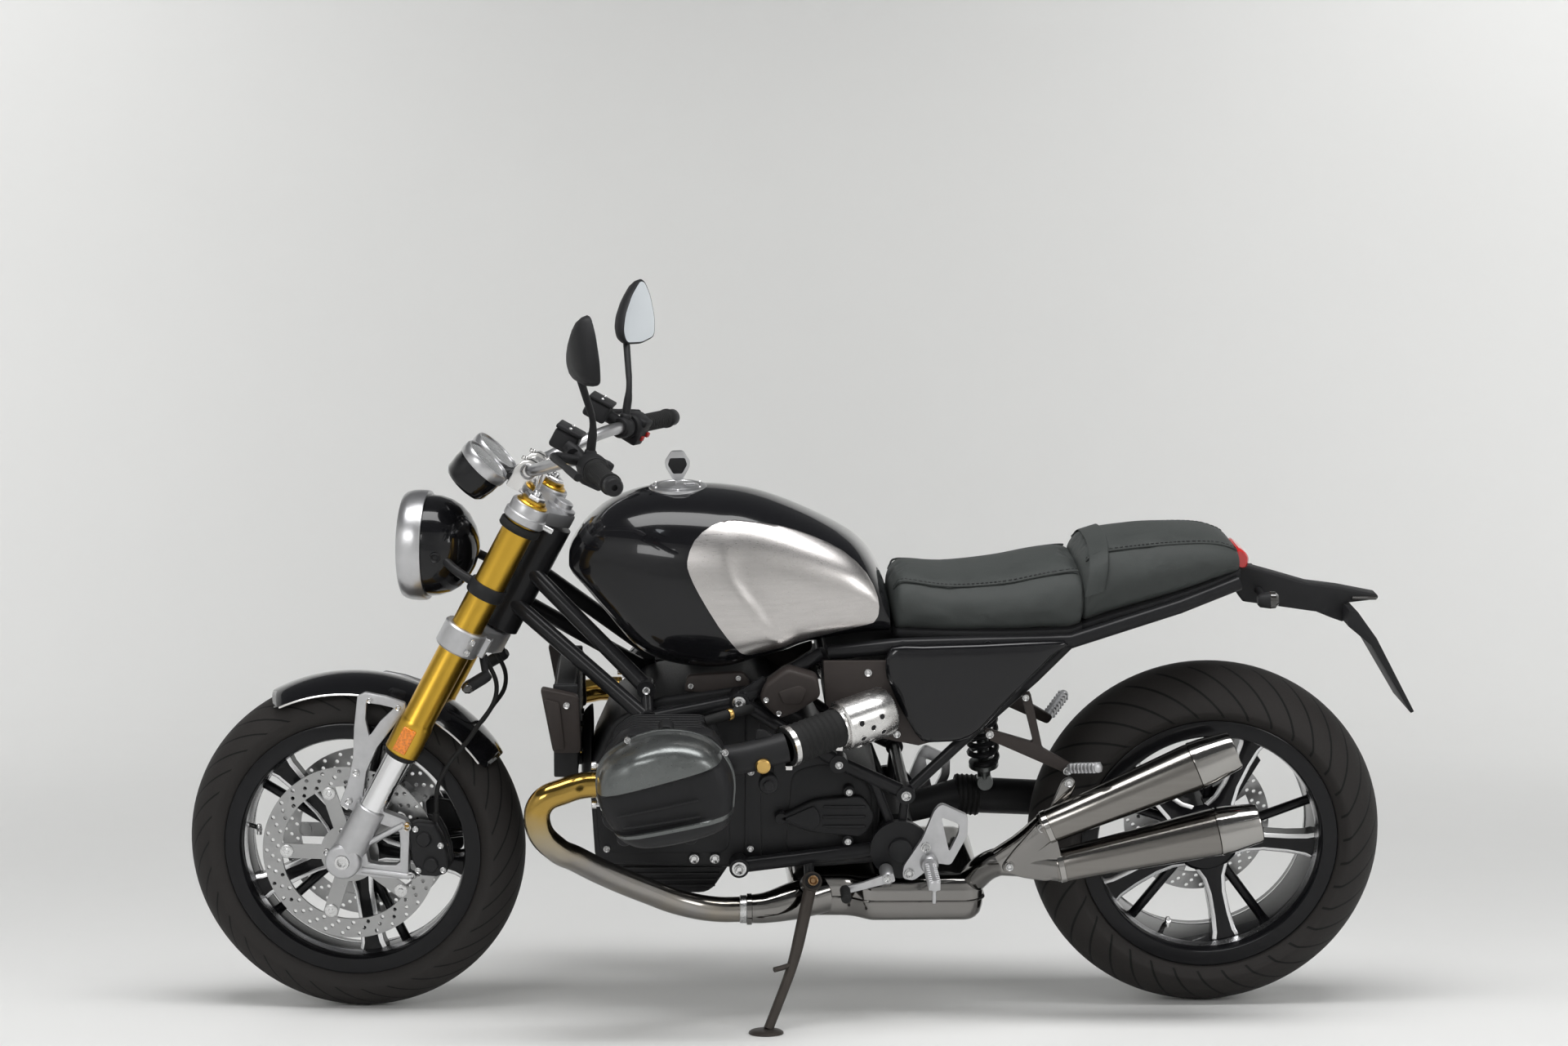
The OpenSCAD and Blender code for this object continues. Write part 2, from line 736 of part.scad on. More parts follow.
// Side stand pivot, its folded direction and the foot's place on the ground, upright
stand_pivot = [45, -172, 285];
stand_folded = [0.94, -0.07, -0.31] / norm([0.94, -0.07, -0.31]);
stand_foot = [-32, -294, 60];
stand_open = (stand_foot - stand_pivot) / norm(stand_foot - stand_pivot);
stand_axis = cross(stand_open, stand_folded) / norm(cross(stand_open, stand_folded));
stand_eye_h = 12;
module main_frame() {
  plate_y = 158;
  color("#111113")
    parked()
      difference() {
        union() {
          translate(fork_o)
            rotate([0, rake, 0])
              translate([0, 0, lower_clamp_z + lower_clamp_h + 2])
                cylinder(h = upper_clamp_z - lower_clamp_z - lower_clamp_h - 4, r = head_r);
          both() {
            rod(on_axis(528) + [0, 20, 0], node_a, frame_r);
            rod(node_a, node_c, frame_r - 2);
            rod(on_axis(592) + [0, 18, 0], node_b, frame_r);
            rod(node_b, node_a, frame_r - 3);
            rod(node_c, node_d, frame_r - 2);
            rod(node_d, node_j, frame_r - 2);
            rod(node_c, rail[0], frame_r - 3);
            rod(node_d + (node_j - node_d) * 0.5, out_y(pivot, 136), frame_r - 6);
            rod(node_j, out_y(pivot, 140), frame_r - 6);
            rod(low_front, out_y(pivot, 138), frame_r - 1);
            for (p = [node_b, node_d, node_j])
              rod(out_y(p, p.y - frame_r - 1), out_y(p, p.y + frame_r + 1), frame_r + 2);
            for (p = [node_a, node_c, low_front])
              rod(out_y(p, case_half_w + seat_gap), out_y(p, p.y + 16), frame_r + 3);
            rod(out_y(pivot, 128), out_y(pivot, plate_y), pivot_r + 6);
            rod(out_y(pivot, plate_y - 10), out_y(pivot, plate_y), 52);
          }
          rod(out_y(pivot, -140), out_y(pivot, 140), pivot_r);
          rod(out_y(node_j, -138), out_y(node_j, 138), frame_r - 4);
          rod(out_y(tank_seat, -tank_seat.y), tank_seat, cross_r);
          rod(stand_pivot - stand_axis * 30, stand_pivot - stand_axis * (stand_eye_h + seat_gap), 17);
          rod(stand_pivot - stand_axis * 26, [41, -139, 318.7], 9);
          rod(stand_pivot - stand_axis * 29, stand_pivot + stand_axis * (stand_eye_h + 2), stand_pin_r);
          rod(stand_pivot + stand_axis * (stand_eye_h + seat_gap), stand_pivot + stand_axis * (stand_eye_h + 6), 13);
        }
        translate(fork_o)
          rotate([0, rake, 0])
            translate([0, 0, lower_clamp_z])
              cylinder(h = upper_clamp_z - lower_clamp_z, r = stem_r + running_gap);
      }
}
module subframe() {
  color("#111113")
    parked() {
      both() {
        pipe(concat([rail[0] + [12.4, 0.9, 1.5]], [for (i = [1 : 4]) rail[i]]), rail_r);
        pipe([node_j + [12, -0.8, 11.5], [302, 132, 525], [428, 126, 640], [489, 127, 704]], rail_r - 3);
      }
      for (i = [2, 3])
        rod(out_y(rail[i], -rail[i].y), rail[i], rail_r - 3);
      rod([tail_x, -92, 797], [tail_x, 92, 797], rail_r - 3);
      rod(out_y(shock_top, -cross_half_w), out_y(shock_top, cross_half_w), cross_r);
    }
}

// Engine
cyl_at = [-205, 0, 505];
module engine_block() {
  color("#232325")
    parked() {
      slab([[-330, 300], [-340, 470], [-300, 560], [-230, 600], [-60, 628], [40, 560], [70, 500], [165, 452],
        [165, 300], [60, 292], [-100, 292]], -case_half_w, case_half_w);
      slab([[-320, 320], [-290, 240], [-130, 238], [-90, 300]], -100, 100);
      translate([-339, 0, 470])
        rotate([0, -90, 0])
          cylinder(h = 14, r = 84);
    }
}
module per_cylinder() {
  parked() {
    mirror([0, 1, 0])
      children();
    translate([cylinder_stagger, 0, 0])
      children();
  }
}
head_y = engine_half_w - 88;
module cylinders() {
  fin_count = 7;
  fin_t = 4;
  fins_from = 172;
  head_t = 42;
  pitch_y = (head_y - head_t - fins_from) / fin_count;
  color("#2c2c2f")
    per_cylinder()
      translate([cyl_at.x, 0, cyl_at.z]) {
        drum(54, case_half_w + seat_gap, head_y);
        for (i = [0 : fin_count - 1])
          slab([[-92, -60], [-92, 56], [-60, 84], [64, 84], [84, 60], [84, -60], [60, -80], [-60, -80]],
            fins_from + i * pitch_y, fins_from + i * pitch_y + fin_t);
        slab([[-108, -66], [-106, 50], [-70, 92], [76, 92], [98, 62], [98, -60], [66, -86], [-76, -86]],
          head_y - head_t, head_y);
      }
}
// Valve cover outline about the cylinder axis, [x, z], with rounded corners
cover_outline = [[-117, 8], [-98, 62], [-20, 100], [60, 92], [106, 46], [114, -10], [92, -62], [-36, -92], [-94, -60]];
function cover_ring(k, y) = [for (p = smooth_loop(cover_outline, 4)) [p.x * k, y, p.y * k]];
module valve_covers() {
  color("#47494c")
    per_cylinder()
      translate([cyl_at.x, 0, cyl_at.z])
        loft([cover_ring(1, head_y + seat_gap), cover_ring(1, head_y + 12), cover_ring(0.97, head_y + 15),
          cover_ring(0.97, head_y + 40), cover_ring(0.93, head_y + 60), cover_ring(0.84, head_y + 76),
          cover_ring(0.68, engine_half_w - 3), cover_ring(0.5, engine_half_w)]);
}
module oil_cooler() {
  color("#2a2625")
    parked() {
      translate([-400, -128, 462])
        cube([42, 256, 166]);
      both() {
        slab([[-421, 628], [-352, 612], [-352, 512], [-402, 512]], 128.5, 152);
        rod([-359, 60, 474], [-353.3, 60, 474], 10);
        rod([-380, 110, 545], [-380, 129, 545], 12);
      }
    }
}

// Intake tract, from the head's rear face to the airbox
intake = [[-76, 272, 542], [-5, 258, 557], [95, 200, 577], [180, 158, 594]];
intake_dir = (intake[3] - intake[2]) / norm(intake[3] - intake[2]);
intake_face = cyl_at.x + 98 + seat_gap;
bell_r = 44;
module intake_side(shift) {
  stub_r = 26;
  rod([intake_face + shift, intake[0].y, intake[0].z], intake[0] + [shift, 0, 0], stub_r);
  translate(intake[0] + [shift, 0, 0])
    sphere(r = stub_r + 3);
  rod(intake[0] + [shift, 0, 0], intake[1], stub_r);
  translate(intake[1])
    sphere(r = 34);
  rod(intake[1], intake[2], 33);
  rod(intake[2] - intake_dir * 6, intake[3], bell_r);
}
module intakes() {
  color("#1a1a1b")
    parked() {
      mirror([0, 1, 0])
        intake_side(0);
      intake_side(cylinder_stagger);
    }
}
airbox_half_w = 122;
cover_y0 = 142.4;
cover_y1 = 150;
module airbox() {
  color("#161618")
    parked()
      difference() {
        slab([[72, 560], [76, 652], [306, 664], [306, 600], [250, 530], [130, 530]],
          -airbox_half_w, airbox_half_w);
        both()
          rod(intake[2], intake[3] + intake_dir, bell_r + seat_gap);
      }
}
module airbox_covers() {
  color("#332e2c")
    parked()
      both()
        difference() {
          union() {
            slab([[62, 676], [66, 600], [112, 548], [228, 524], [300, 545], [330, 600], [330, 668], [200, 676]],
              cover_y0, cover_y1);
            for (p = [[110, 640], [236, 545], [290, 640]])
              translate([p.x, 0, p.y])
                drum(9, airbox_half_w + seat_gap, cover_y0 + 1);
          }
          rod(intake[2], intake[3] + intake_dir * 40, bell_r + seat_gap);
        }
}
module side_panels() {
  color("#0f0f11")
    parked()
      both()
        slab([[178, 700], [200, 704], [474, 712], [462, 694], [372, 600], [322, 546], [300, 536], [232, 536],
          [192, 600], [168, 660]], cover_y1 + seat_gap, cover_y1 + 16);
}

// Tank, [x, half width share, bottom, top]
tank_rows = [[-374, 0.28, 812, 846], [-366, 0.37, 800, 862], [-345, 0.5, 778, 890], [-306, 0.67, 733, 922],
  [-256, 0.83, 678, 942], [-200, 0.93, 652, 950], [-115, 1, 645, 949], [-44, 1, 664, 937], [27, 0.95, 684, 911],
  [99, 0.86, 699, 875], [139, 0.79, 704.5, 844], [164, 0.74, 707.5, 806], [178, 0.7, 709.5, 768]];
tank_points = 36;
module tank_skin(grow) {
  loft([for (row = smooth_rows(tank_rows, 2))
    let (hw = tank_half_w * row[1] + grow, wide = row[2] + (row[3] - row[2]) * 0.42)
      section(row[0], hw, wide, row[3] + grow, row[2] - grow, 2.3, 3.4, tank_points)]);
}
cap_at = [-186, 0, 948];
cap_tilt = -1;
cap_r = 38;
module at_cap() {
  parked()
    translate(cap_at)
      rotate([0, cap_tilt, 0])
        children();
}
neck_depth = 34;
module fuel_tank() {
  color("#0c0c0e")
    difference() {
      parked()
        tank_skin(0);
      at_cap()
        translate([0, 0, -neck_depth])
          cylinder(h = neck_depth + 30, r = filler_r + seat_gap);
    }
}
// Brushed knee panel outline, [x, z]
knee_outline = [[-168, 842], [-158, 872], [-113, 905], [-70, 908], [60, 872], [108, 842], [132, 806], [146, 752],
  [140, 732], [4, 712], [-60, 694], [-84, 692], [-104, 712], [-164, 806]];
module tank_panels() {
  color("#c4c2c0")
    parked()
      difference() {
        intersection() {
          tank_skin(2.5);
          both()
            slab(knee_outline, 60, 200);
        }
        tank_skin(seat_gap);
      }
}
module filler_ring() {
  color("#c2c4c6")
    at_cap()
      difference() {
        translate([0, 0, -neck_depth + seat_gap])
          cylinder(h = neck_depth + 3, r = filler_r);
        translate([0, 0, -neck_depth + 4])
          cylinder(h = neck_depth + 8, r = neck_r);
        translate([0, 0, -3])
          cylinder(h = 10, r = cap_r + 0.5);
        rotate([90, 0, 0])
          translate([-cap_r - 3, 2, -12])
            cylinder(h = 24, r = 6.5);
      }
}
lid_hinge = [-cap_r - 3, 0, 2];
module fuel_cap() {
  color("#c8cacc")
    at_cap() {
      translate([0, 0, -3 + seat_gap])
        cylinder(h = 7, r = cap_r);
      translate(lid_hinge)
        drum(4, -9, 9);
      translate([-cap_r - 2, -8, -0.6])
        cube([12, 16, 3.6]);
      translate([-6, -2, 3])
        cube([12, 4, 10]);
      slab([[-8, 12], [8, 12], [16, 26], [14, 40], [-12, 40], [-15, 26]], -5, 5);
    }
}

// Seats
function rail_z(x) = lookup(x, [for (p = rail) [p.x, p.z]]);
module seat(rows, half_w, nt) {
  loft([for (row = smooth_rows(rows, 2))
    let (zb = rail_z(row[0]) + rail_r + seat_gap, hw = half_w * row[1])
      section(row[0], hw, zb + (row[2] - zb) * 0.42, row[2], zb, nt, 5, 32)]);
}
module rider_seat() {
  color("#3b3d3c")
    parked()
      seat([[185, 0.66, 786], [190, 0.74, 800], [204, 0.8, 811], [280, 0.92, 803], [371, 1, 811], [440, 1, 826],
        [490, 0.97, 834], [508, 0.95, 832]], seat_half_w, 2.6);
}
module pillion_seat() {
  color("#3b3d3c")
    parked()
      seat([[509, 1, 842], [524, 1.02, 860], [545, 1, 868], [644, 0.98, 877], [726, 0.92, 876], [768, 0.84, 864],
        [786, 0.76, 850]], pillion_half_w, 2.7);
}

// Tail
module tail_light() {
  color("#8e1518")
    parked()
      slab([[786.6, 816], [786.6, 846], [800, 842], [808, 830], [804, 812]], -46, 46);
}
arm_half_w = 18;
holder_half_w = 62;
module tail_arm() {
  hole_r = 3.5;
  hole_y = 45;
  color("#151517")
    parked()
      difference() {
        union() {
          slab([[786.5, 770], [786.5, 815], [808, 810], [920, 777], [975, 771], [1046, 757], [1046, 748], [988, 740],
            [986, 706], [938, 726], [806, 744]], -arm_half_w, arm_half_w);
          slab([[984, 742], [1000, 738], [1036, 690], [1110, 556], [1103, 552], [1026, 676], [984, 712]],
            -holder_half_w, holder_half_w);
        }
        for (s = [-1, 1])
          translate([1078, s * hole_y, 602])
            rotate([0, 61, 0])
              cylinder(h = 60, r = hole_r, center = true);
      }
}
module rear_signals() {
  color("#2b2b2e")
    parked()
      both() {
        rod([832, arm_half_w + seat_gap, 766], [832, 100, 770], 6);
        rod([812, 102, 769], [848, 102, 771], 13, 15);
      }
}

// Exhaust
header_route = [[cyl_at.x - 108 - seat_gap, 284, 500], [-340, 284, 500], [-396, 302, 490], [-424, 304, 452],
  [-402, 294, 398], [-284, 205, 300], [-150, 146, 226], [-60 - seat_gap, 146, 226]];
module exhaust_headers() {
  color("#c7bfa9")
    per_cylinder()
      pipe(header_route, header_r);
}
outlet_r = 25;
outlet = [[330, -116, 268], [352, -150, 308], [392, -192, 334]];
lower_can = [[466, -200, 322], [815, -200, 400]];
upper_can = [[442, -200, 390], [767, -200, 532]];
module collector() {
  color("#cfd1d3")
    parked()
      difference() {
        translate([0, 0, 197])
          linear_extrude(height = 84)
            polygon([[-60 + cylinder_stagger, 172], [20, 160], [330, 150], [350, 128], [350, -128], [330, -150],
              [140, -150], [116, -124], [34, -124], [10, -172], [-60, -172], [-60, -118], [0, -100], [0, 100], [-30, 118],
              [-60 + cylinder_stagger, 120]]);
        pipe([outlet[0] + (outlet[0] - outlet[1]) * 0.01, outlet[1], outlet[2]], outlet_r + seat_gap);
      }
}
module silencers() {
  joint = outlet[2];
  color("#bcbec0")
    parked()
      difference() {
        union() {
          pipe(outlet, outlet_r);
          translate(joint)
            sphere(r = 27);
          rod(joint, lower_can[0], outlet_r);
          rod(joint, upper_can[0], outlet_r);
          rod(lower_can[0], lower_can[1], 26, silencer_r);
          rod(upper_can[0], upper_can[1], 26, silencer_r);
        }
        for (can = [lower_can, upper_can])
          rod(can[1] - (can[1] - can[0]) * 0.14, can[1] + (can[1] - can[0]) * 0.01, 22);
      }
}

// Rear drive
module swingarm() {
  arm_y = 138;
  knee = [330, arm_y - 8, 342];
  drive = [rear_axle_x - 40, arm_y, rear_tyre_r + 6];
  along = (drive - knee) / norm(drive - knee);
  color("#1c1c1e")
    parked()
      difference() {
        union() {
          rod(out_y(pivot, 44), knee, 26, 30);
          rod(knee - along * 10, knee + along * 34, 36);
          rod(knee, drive, 33, 31);
          translate(pivot)
            drum(32, -60, 70);
        }
        rod(out_y(pivot, -150), out_y(pivot, 150), pivot_r + seat_gap);
        translate([rear_axle_x, 0, rear_tyre_r])
          drum(78.3, drive_in - 20, drive_out + 40);
      }
}
module final_drive() {
  color("#202022")
    at_rear_axle()
      difference() {
        union() {
          drum(78, drive_in + 14, drive_out);
          drum(60, drive_in, drive_out + 1);
        }
        drum(quill_r + running_gap, drive_in - 1, drive_out + 2);
      }
}
module rear_caliper() {
  color("#1a1a1b")
    at_rear_axle()
      rotate([0, -58, 0])
        difference() {
          slab([[70, -34], [70, 34], [158, 30], [166, 0], [158, -30]], rear_hub_out - 14, drive_in + 30);
          drum(rear_disc_r + pad_gap, rear_hub_out - pad_gap, rear_hub_out + disc_t + pad_gap);
          drum(78 + seat_gap, drive_in - 40, drive_out);
        }
}
module shock() {
  eye = [372, 104, 376];
  axis = (eye - shock_top) / norm(eye - shock_top);
  coil_count = 7;
  color("#6d6f72")
    parked()
      difference() {
        union() {
          rod(shock_top + axis * 11, eye, 11);
          rod(out_y(shock_top, shock_top.y - 12), out_y(shock_top, shock_top.y + 12), cross_r + 5);
          rod(shock_top + axis * 60, shock_top + axis * 140, 22);
          for (i = [0 : coil_count - 1])
            rod(shock_top + axis * (150 + i * 20), shock_top + axis * (160 + i * 20), 27);
        }
        rod(out_y(shock_top, 0), out_y(shock_top, 120), cross_r + seat_gap);
      }
}

// Rider and passenger rests
peg_at = [248, 0, 320];
module foot_controls() {
  plate = 158 + seat_gap;
  lever_y = 200;
  shift_pivot = [174, 0, 304];
  color("#c3c5c7")
    parked()
      both() {
        difference() {
          slab([[203, 290], [222, 286], [262, 318], [286, 314], [314, 368], [314, 404], [268, 426], [256, 414],
            [236, 362], [204, 312]], plate, plate + 13);
          slab([[266, 404], [300, 390], [300, 372], [282, 334]], plate - 1, plate + 14);
        }
        rod(out_y(peg_at, plate + 12), out_y(peg_at, plate + 30), 15);
        rod(out_y(peg_at, plate + 28), out_y(peg_at, 296), 12);
        rod(out_y(shift_pivot, plate), out_y(shift_pivot, lever_y + 9), 10);
        slab([[164, 306], [184, 312], [186, 298], [110, 280], [96, 278], [94, 288]], lever_y, lever_y + 8);
        rod([101, lever_y + 7, 283], [101, lever_y + 52, 283], 9);
      }
}
module passenger_pegs() {
  plate = 140.8;
  color("#3a3330")
    parked()
      both() {
        slab([[340, 556], [348, 536], [490, 472], [500, 486], [442, 520], [418, 622], [404, 612], [426, 530]],
          plate, plate + 14);
        rod([490, plate + 8, 483], [532, plate + 84, 508], 9, 12);
      }
}

// Side stand, drawn where it stands on the ground
module side_stand() {
  eye = parked_pt(stand_pivot);
  axis = turned(leaned(stand_axis), [0, 1, 0], pitch);
  ground = parked_pt(stand_foot);
  foot = [ground.x, ground.y, 0];
  pad_h = 7;
  elbow = eye + (foot - eye) * 0.55 + [10, 4, 0];
  color("#3a3532")
    difference() {
      union() {
        rod(eye - axis * stand_eye_h, eye + axis * stand_eye_h, 17);
        pipe([eye, elbow, foot + [0, 0, pad_h]], stand_leg_r);
        translate(foot + [-4, -6, 0])
          cylinder(h = pad_h, r = 30);
        rod(elbow, elbow + [-34, -24, -8], 5);
      }
      rod(eye - axis * (stand_eye_h + 1), eye + axis * (stand_eye_h + 1), stand_pin_r + running_gap);
    }
}

front_tyre();
front_rim();
front_discs();
rear_tyre();
rear_rim();
rear_disc();
fork_tubes();
fork_stanchions();
fork_feet();
front_axle();
lower_clamp();
upper_clamp();
handlebar();
grips();
hand_controls();
mirrors();
headlight();
headlight_rim();
gauges();
front_fender();
fender_brackets();
front_calipers();
brake_hoses();
front_signals();
main_frame();
subframe();
engine_block();
cylinders();
valve_covers();
oil_cooler();
intakes();
airbox();
airbox_covers();
side_panels();
fuel_tank();
tank_panels();
filler_ring();
rider_seat();
pillion_seat();
tail_light();
tail_arm();
rear_signals();
exhaust_headers();
collector();
silencers();
swingarm();
final_drive();
rear_caliper();
shock();
foot_controls();
passenger_pegs();
side_stand();
fuel_cap();
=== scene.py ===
import json
import math
import bpy
import bmesh
from mathutils import Matrix, Vector


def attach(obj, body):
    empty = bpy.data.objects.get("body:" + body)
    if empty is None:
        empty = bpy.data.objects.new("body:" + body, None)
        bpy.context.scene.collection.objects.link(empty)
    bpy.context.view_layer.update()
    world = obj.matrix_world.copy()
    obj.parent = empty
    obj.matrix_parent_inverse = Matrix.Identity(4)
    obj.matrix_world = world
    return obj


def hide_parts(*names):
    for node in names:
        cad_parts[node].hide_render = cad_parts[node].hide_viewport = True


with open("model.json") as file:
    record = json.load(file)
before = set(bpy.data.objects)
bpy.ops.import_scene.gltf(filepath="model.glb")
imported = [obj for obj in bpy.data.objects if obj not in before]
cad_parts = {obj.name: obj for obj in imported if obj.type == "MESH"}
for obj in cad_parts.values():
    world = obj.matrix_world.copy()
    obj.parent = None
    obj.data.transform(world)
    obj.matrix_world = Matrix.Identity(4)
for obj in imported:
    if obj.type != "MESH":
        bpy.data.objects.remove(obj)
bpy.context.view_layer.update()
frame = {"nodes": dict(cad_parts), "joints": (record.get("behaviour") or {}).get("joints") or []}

# pieces are drawn upright in millimetres: x rearwards from mid-wheelbase, y to the rider's right, z up
layout = {
    "wheelbase": 1511,
    "rakeDeg": 27.7,
    "forkOffset": 41.4,
    "forkSpread": 104,
    "frontTyreR": 300,
    "rearTyreR": 315,
}
joints = {j["name"]: j for j in frame["joints"]}
rake = math.radians(layout["rakeDeg"])
frontAxle = Vector((-layout["wheelbase"] / 2, 0, layout["frontTyreR"]))
rearAxle = Vector((layout["wheelbase"] / 2, 0, layout["rearTyreR"]))


def jointDir(name):
    return Vector(joints[name]["axis"]).normalized()


def jointPos(name):
    return Vector(joints[name]["pos_m"])


# the parked lean comes from the rear axle and the steering axis of the frame
acrossDir = jointDir("rear_wheel")
steerDir = jointDir("steering")
aheadDir = acrossDir.cross(steerDir)
rearDir = steerDir * math.sin(rake) + aheadDir * math.cos(rake)
upDir = steerDir * math.cos(rake) - aheadDir * math.sin(rake)
parkedTurn = Matrix((rearDir, acrossDir, upDir)).transposed().to_4x4()
millimetres = Matrix.Scale(0.001, 4)
rearPos = jointPos("rear_wheel")
bikeSpace = Matrix.Translation(rearPos) @ parkedTurn @ Matrix.Translation(rearAxle * -0.001) @ millimetres
frontAcross = jointDir("front_wheel")
restTurn = math.atan2(steerDir.dot(acrossDir.cross(frontAcross)), acrossDir.dot(frontAcross))
steerPos = jointPos("steering")
steered = Matrix.Rotation(restTurn, 4, steerDir)
frontSpace = Matrix.Translation(steerPos) @ steered @ Matrix.Translation(-steerPos) @ bikeSpace
offset = layout["forkOffset"]
forkFoot = frontAxle + Vector((offset * math.cos(rake), 0, -offset * math.sin(rake)))
forkSpace = frontSpace @ Matrix.Translation(forkFoot) @ Matrix.Rotation(rake, 4, "Y")
frontHubSpace = frontSpace @ Matrix.Translation(frontAxle)
rearHubSpace = bikeSpace @ Matrix.Translation(rearAxle)
# a place is the space that a piece is drawn in and the body that it rides on
onBike = (bikeSpace, "chassis")
onDrive = (rearHubSpace, "chassis")
onRearWheel = (rearHubSpace, "rear_wheel")
onFork = (forkSpace, "steering")
onFrontHub = (frontHubSpace, "steering")
onFrontWheel = (frontHubSpace, "front_wheel")
print("frame loaded, front end turned", round(math.degrees(restTurn), 2))


def addObject(name, data):
    made = bpy.data.objects.new(name, data)
    bpy.context.scene.collection.objects.link(made)
    return made


# finishes
def newFinish(name, colour, metal=0.0, rough=0.5, coat=0.0):
    mat = bpy.data.materials.new(name)
    mat.use_nodes = True
    setSockets(shaderOf(mat), {"Base Color": (*colour, 1), "Metallic": metal, "Roughness": rough,
        "Coat Weight": coat, "Coat Roughness": 0.03})
    return mat


def shaderOf(mat):
    return mat.node_tree.nodes["Principled BSDF"]


def setSockets(node, values):
    for key, value in values.items():
        node.inputs[key].default_value = value


def addNode(mat, kind, sockets=None, **settings):
    node = mat.node_tree.nodes.new(kind)
    for key, value in settings.items():
        setattr(node, key, value)
    setSockets(node, sockets or {})
    return node


def wire(mat, a, aSocket, b, bSocket):
    mat.node_tree.links.new(a.outputs[aSocket], b.inputs[bSocket])


def addBump(mat, source, socket, strength, depth):
    bump = addNode(mat, "ShaderNodeBump", {"Strength": strength, "Distance": depth})
    wire(mat, source, socket, bump, "Height")
    wire(mat, bump, "Normal", shaderOf(mat), "Normal")


def addRough(mat, source, low, high):
    spread = addNode(mat, "ShaderNodeMapRange", {"To Min": low, "To Max": high})
    wire(mat, source, "Fac", spread, "Value")
    wire(mat, spread, "Result", shaderOf(mat), "Roughness")


def addTint(mat, source, socket, dark, pale):
    tint = addNode(mat, "ShaderNodeMix", {6: (*dark, 1), 7: (*pale, 1)}, data_type="RGBA")
    wire(mat, source, socket, tint, "Factor")
    wire(mat, tint, 2, shaderOf(mat), "Base Color")


def addNoise(mat, coords, socket, scale, detail):
    noise = addNode(mat, "ShaderNodeTexNoise", {"Scale": scale, "Detail": detail})
    wire(mat, coords, socket, noise, "Vector")
    return noise


def addGrain(mat, scale, depth, stretch=(1, 1, 1), roughSpread=0.1, shade=0.12, detail=4.0):
    # a fine noise drives roughness and the bump, a broad one a little colour variation
    shader = shaderOf(mat)
    rough = shader.inputs["Roughness"].default_value
    base = shader.inputs["Base Color"].default_value[:3]
    coords = addNode(mat, "ShaderNodeTexCoord")
    place = addNode(mat, "ShaderNodeMapping", {"Scale": stretch})
    wire(mat, coords, "Object", place, "Vector")
    fine = addNoise(mat, place, "Vector", scale, detail)
    broad = addNoise(mat, place, "Vector", scale * 0.12, 3.0)
    addRough(mat, fine, max(rough - roughSpread, 0.02), min(rough + roughSpread, 1.0))
    addTint(mat, broad, "Fac", [c * (1 - shade) for c in base], [min(c * (1 + shade), 1) for c in base])
    addBump(mat, fine, "Fac", 0.5, depth)
    return mat


# studio: a round pale floor sweeping up into a pale wall, broad soft lights, camera off the rider's left
studioLook = {"wallR": 8.0, "wallTop": 5.6, "sweep": 2.2, "pale": (0.8, 0.8, 0.79)}
lightLook = {
    "sky": (0.86, 0.88, 0.9, 1),
    "skyPower": 0.13,
    "lamps": [("overheadSoftbox", (0.0, -0.9, 3.4), (0, 0, 0.5), 3.8, 1.1, 110),
        ("nearFill", (-2.6, -4.6, 2.6), (0, 0, 0.6), 2.0, 1.0, 45), ("rearFill", (3.4, -3.0, 2.0),
        (0.3, 0, 0.6), 1.2, 1.2, 26)],
    "wash": {"fromR": 5.0, "fromZ": 4.4, "toR": 8, "toZ": 1.0, "width": 5.0, "height": 0.8, "power": 115},
}
cameraLook = {"place": (-0.202, -4.8483, 0.976), "yawDeg": 2.05, "pitchDeg": 1.29, "lens": 63.77,
    "sensor": 36}


def makeStudio():
    look = studioLook
    bm = bmesh.new()
    flat = look["wallR"] - look["sweep"]
    profile = [(0, 0), (1.5, 0), (3.5, 0), (flat, 0)]
    for k in range(1, 13):
        a = math.radians(90 * k / 12)
        profile.append((flat + look["sweep"] * math.sin(a), look["sweep"] * (1 - math.cos(a))))
    profile.append((look["wallR"], look["wallTop"]))
    line = [bm.verts.new((r, 0, z)) for r, z in profile]
    edges = [bm.edges.new(pair) for pair in zip(line, line[1:])]
    bmesh.ops.spin(bm, geom=line + edges, cent=(0, 0, 0), axis=(0, 0, 1), angle=math.tau, steps=96,
        use_merge=True)
    bmesh.ops.remove_doubles(bm, verts=bm.verts, dist=0.0005)
    bmesh.ops.recalc_face_normals(bm, faces=bm.faces)
    mesh = bpy.data.meshes.new("studioFloor")
    bm.to_mesh(mesh)
    bm.free()
    mesh.shade_smooth()
    pale = newFinish("paleFloor", look["pale"], 0, 0.6)
    mesh.materials.append(addGrain(pale, 9, 0.0002, roughSpread=0.06, shade=0.015))
    addObject("studioFloor", mesh)


def addLight(name, place, aim, width, height, power):
    light = bpy.data.lights.new(name, "AREA")
    light.shape = "RECTANGLE"
    light.size, light.size_y, light.energy = width, height, power
    lamp = addObject(name, light)
    lamp.location = place
    lamp.rotation_euler = (Vector(aim) - Vector(place)).to_track_quat("-Z", "Y").to_euler()


def makeLights():
    world = bpy.context.scene.world or bpy.data.worlds.new("studioWorld")
    bpy.context.scene.world = world
    world.use_nodes = True
    look = lightLook
    setSockets(world.node_tree.nodes["Background"], {"Color": look["sky"], "Strength": look["skyPower"]})
    for name, place, aim, width, height, power in look["lamps"]:
        addLight(name, place, aim, width, height, power)
    # four washes keep the wall pale all round
    wash = look["wash"]
    for k in range(4):
        a = math.radians(45 + 90 * k)
        place = (wash["fromR"] * math.cos(a), wash["fromR"] * math.sin(a), wash["fromZ"])
        aim = (wash["toR"] * math.cos(a), wash["toR"] * math.sin(a), wash["toZ"])
        addLight("wallWash" + str(k), place, aim, wash["width"], wash["height"], wash["power"])


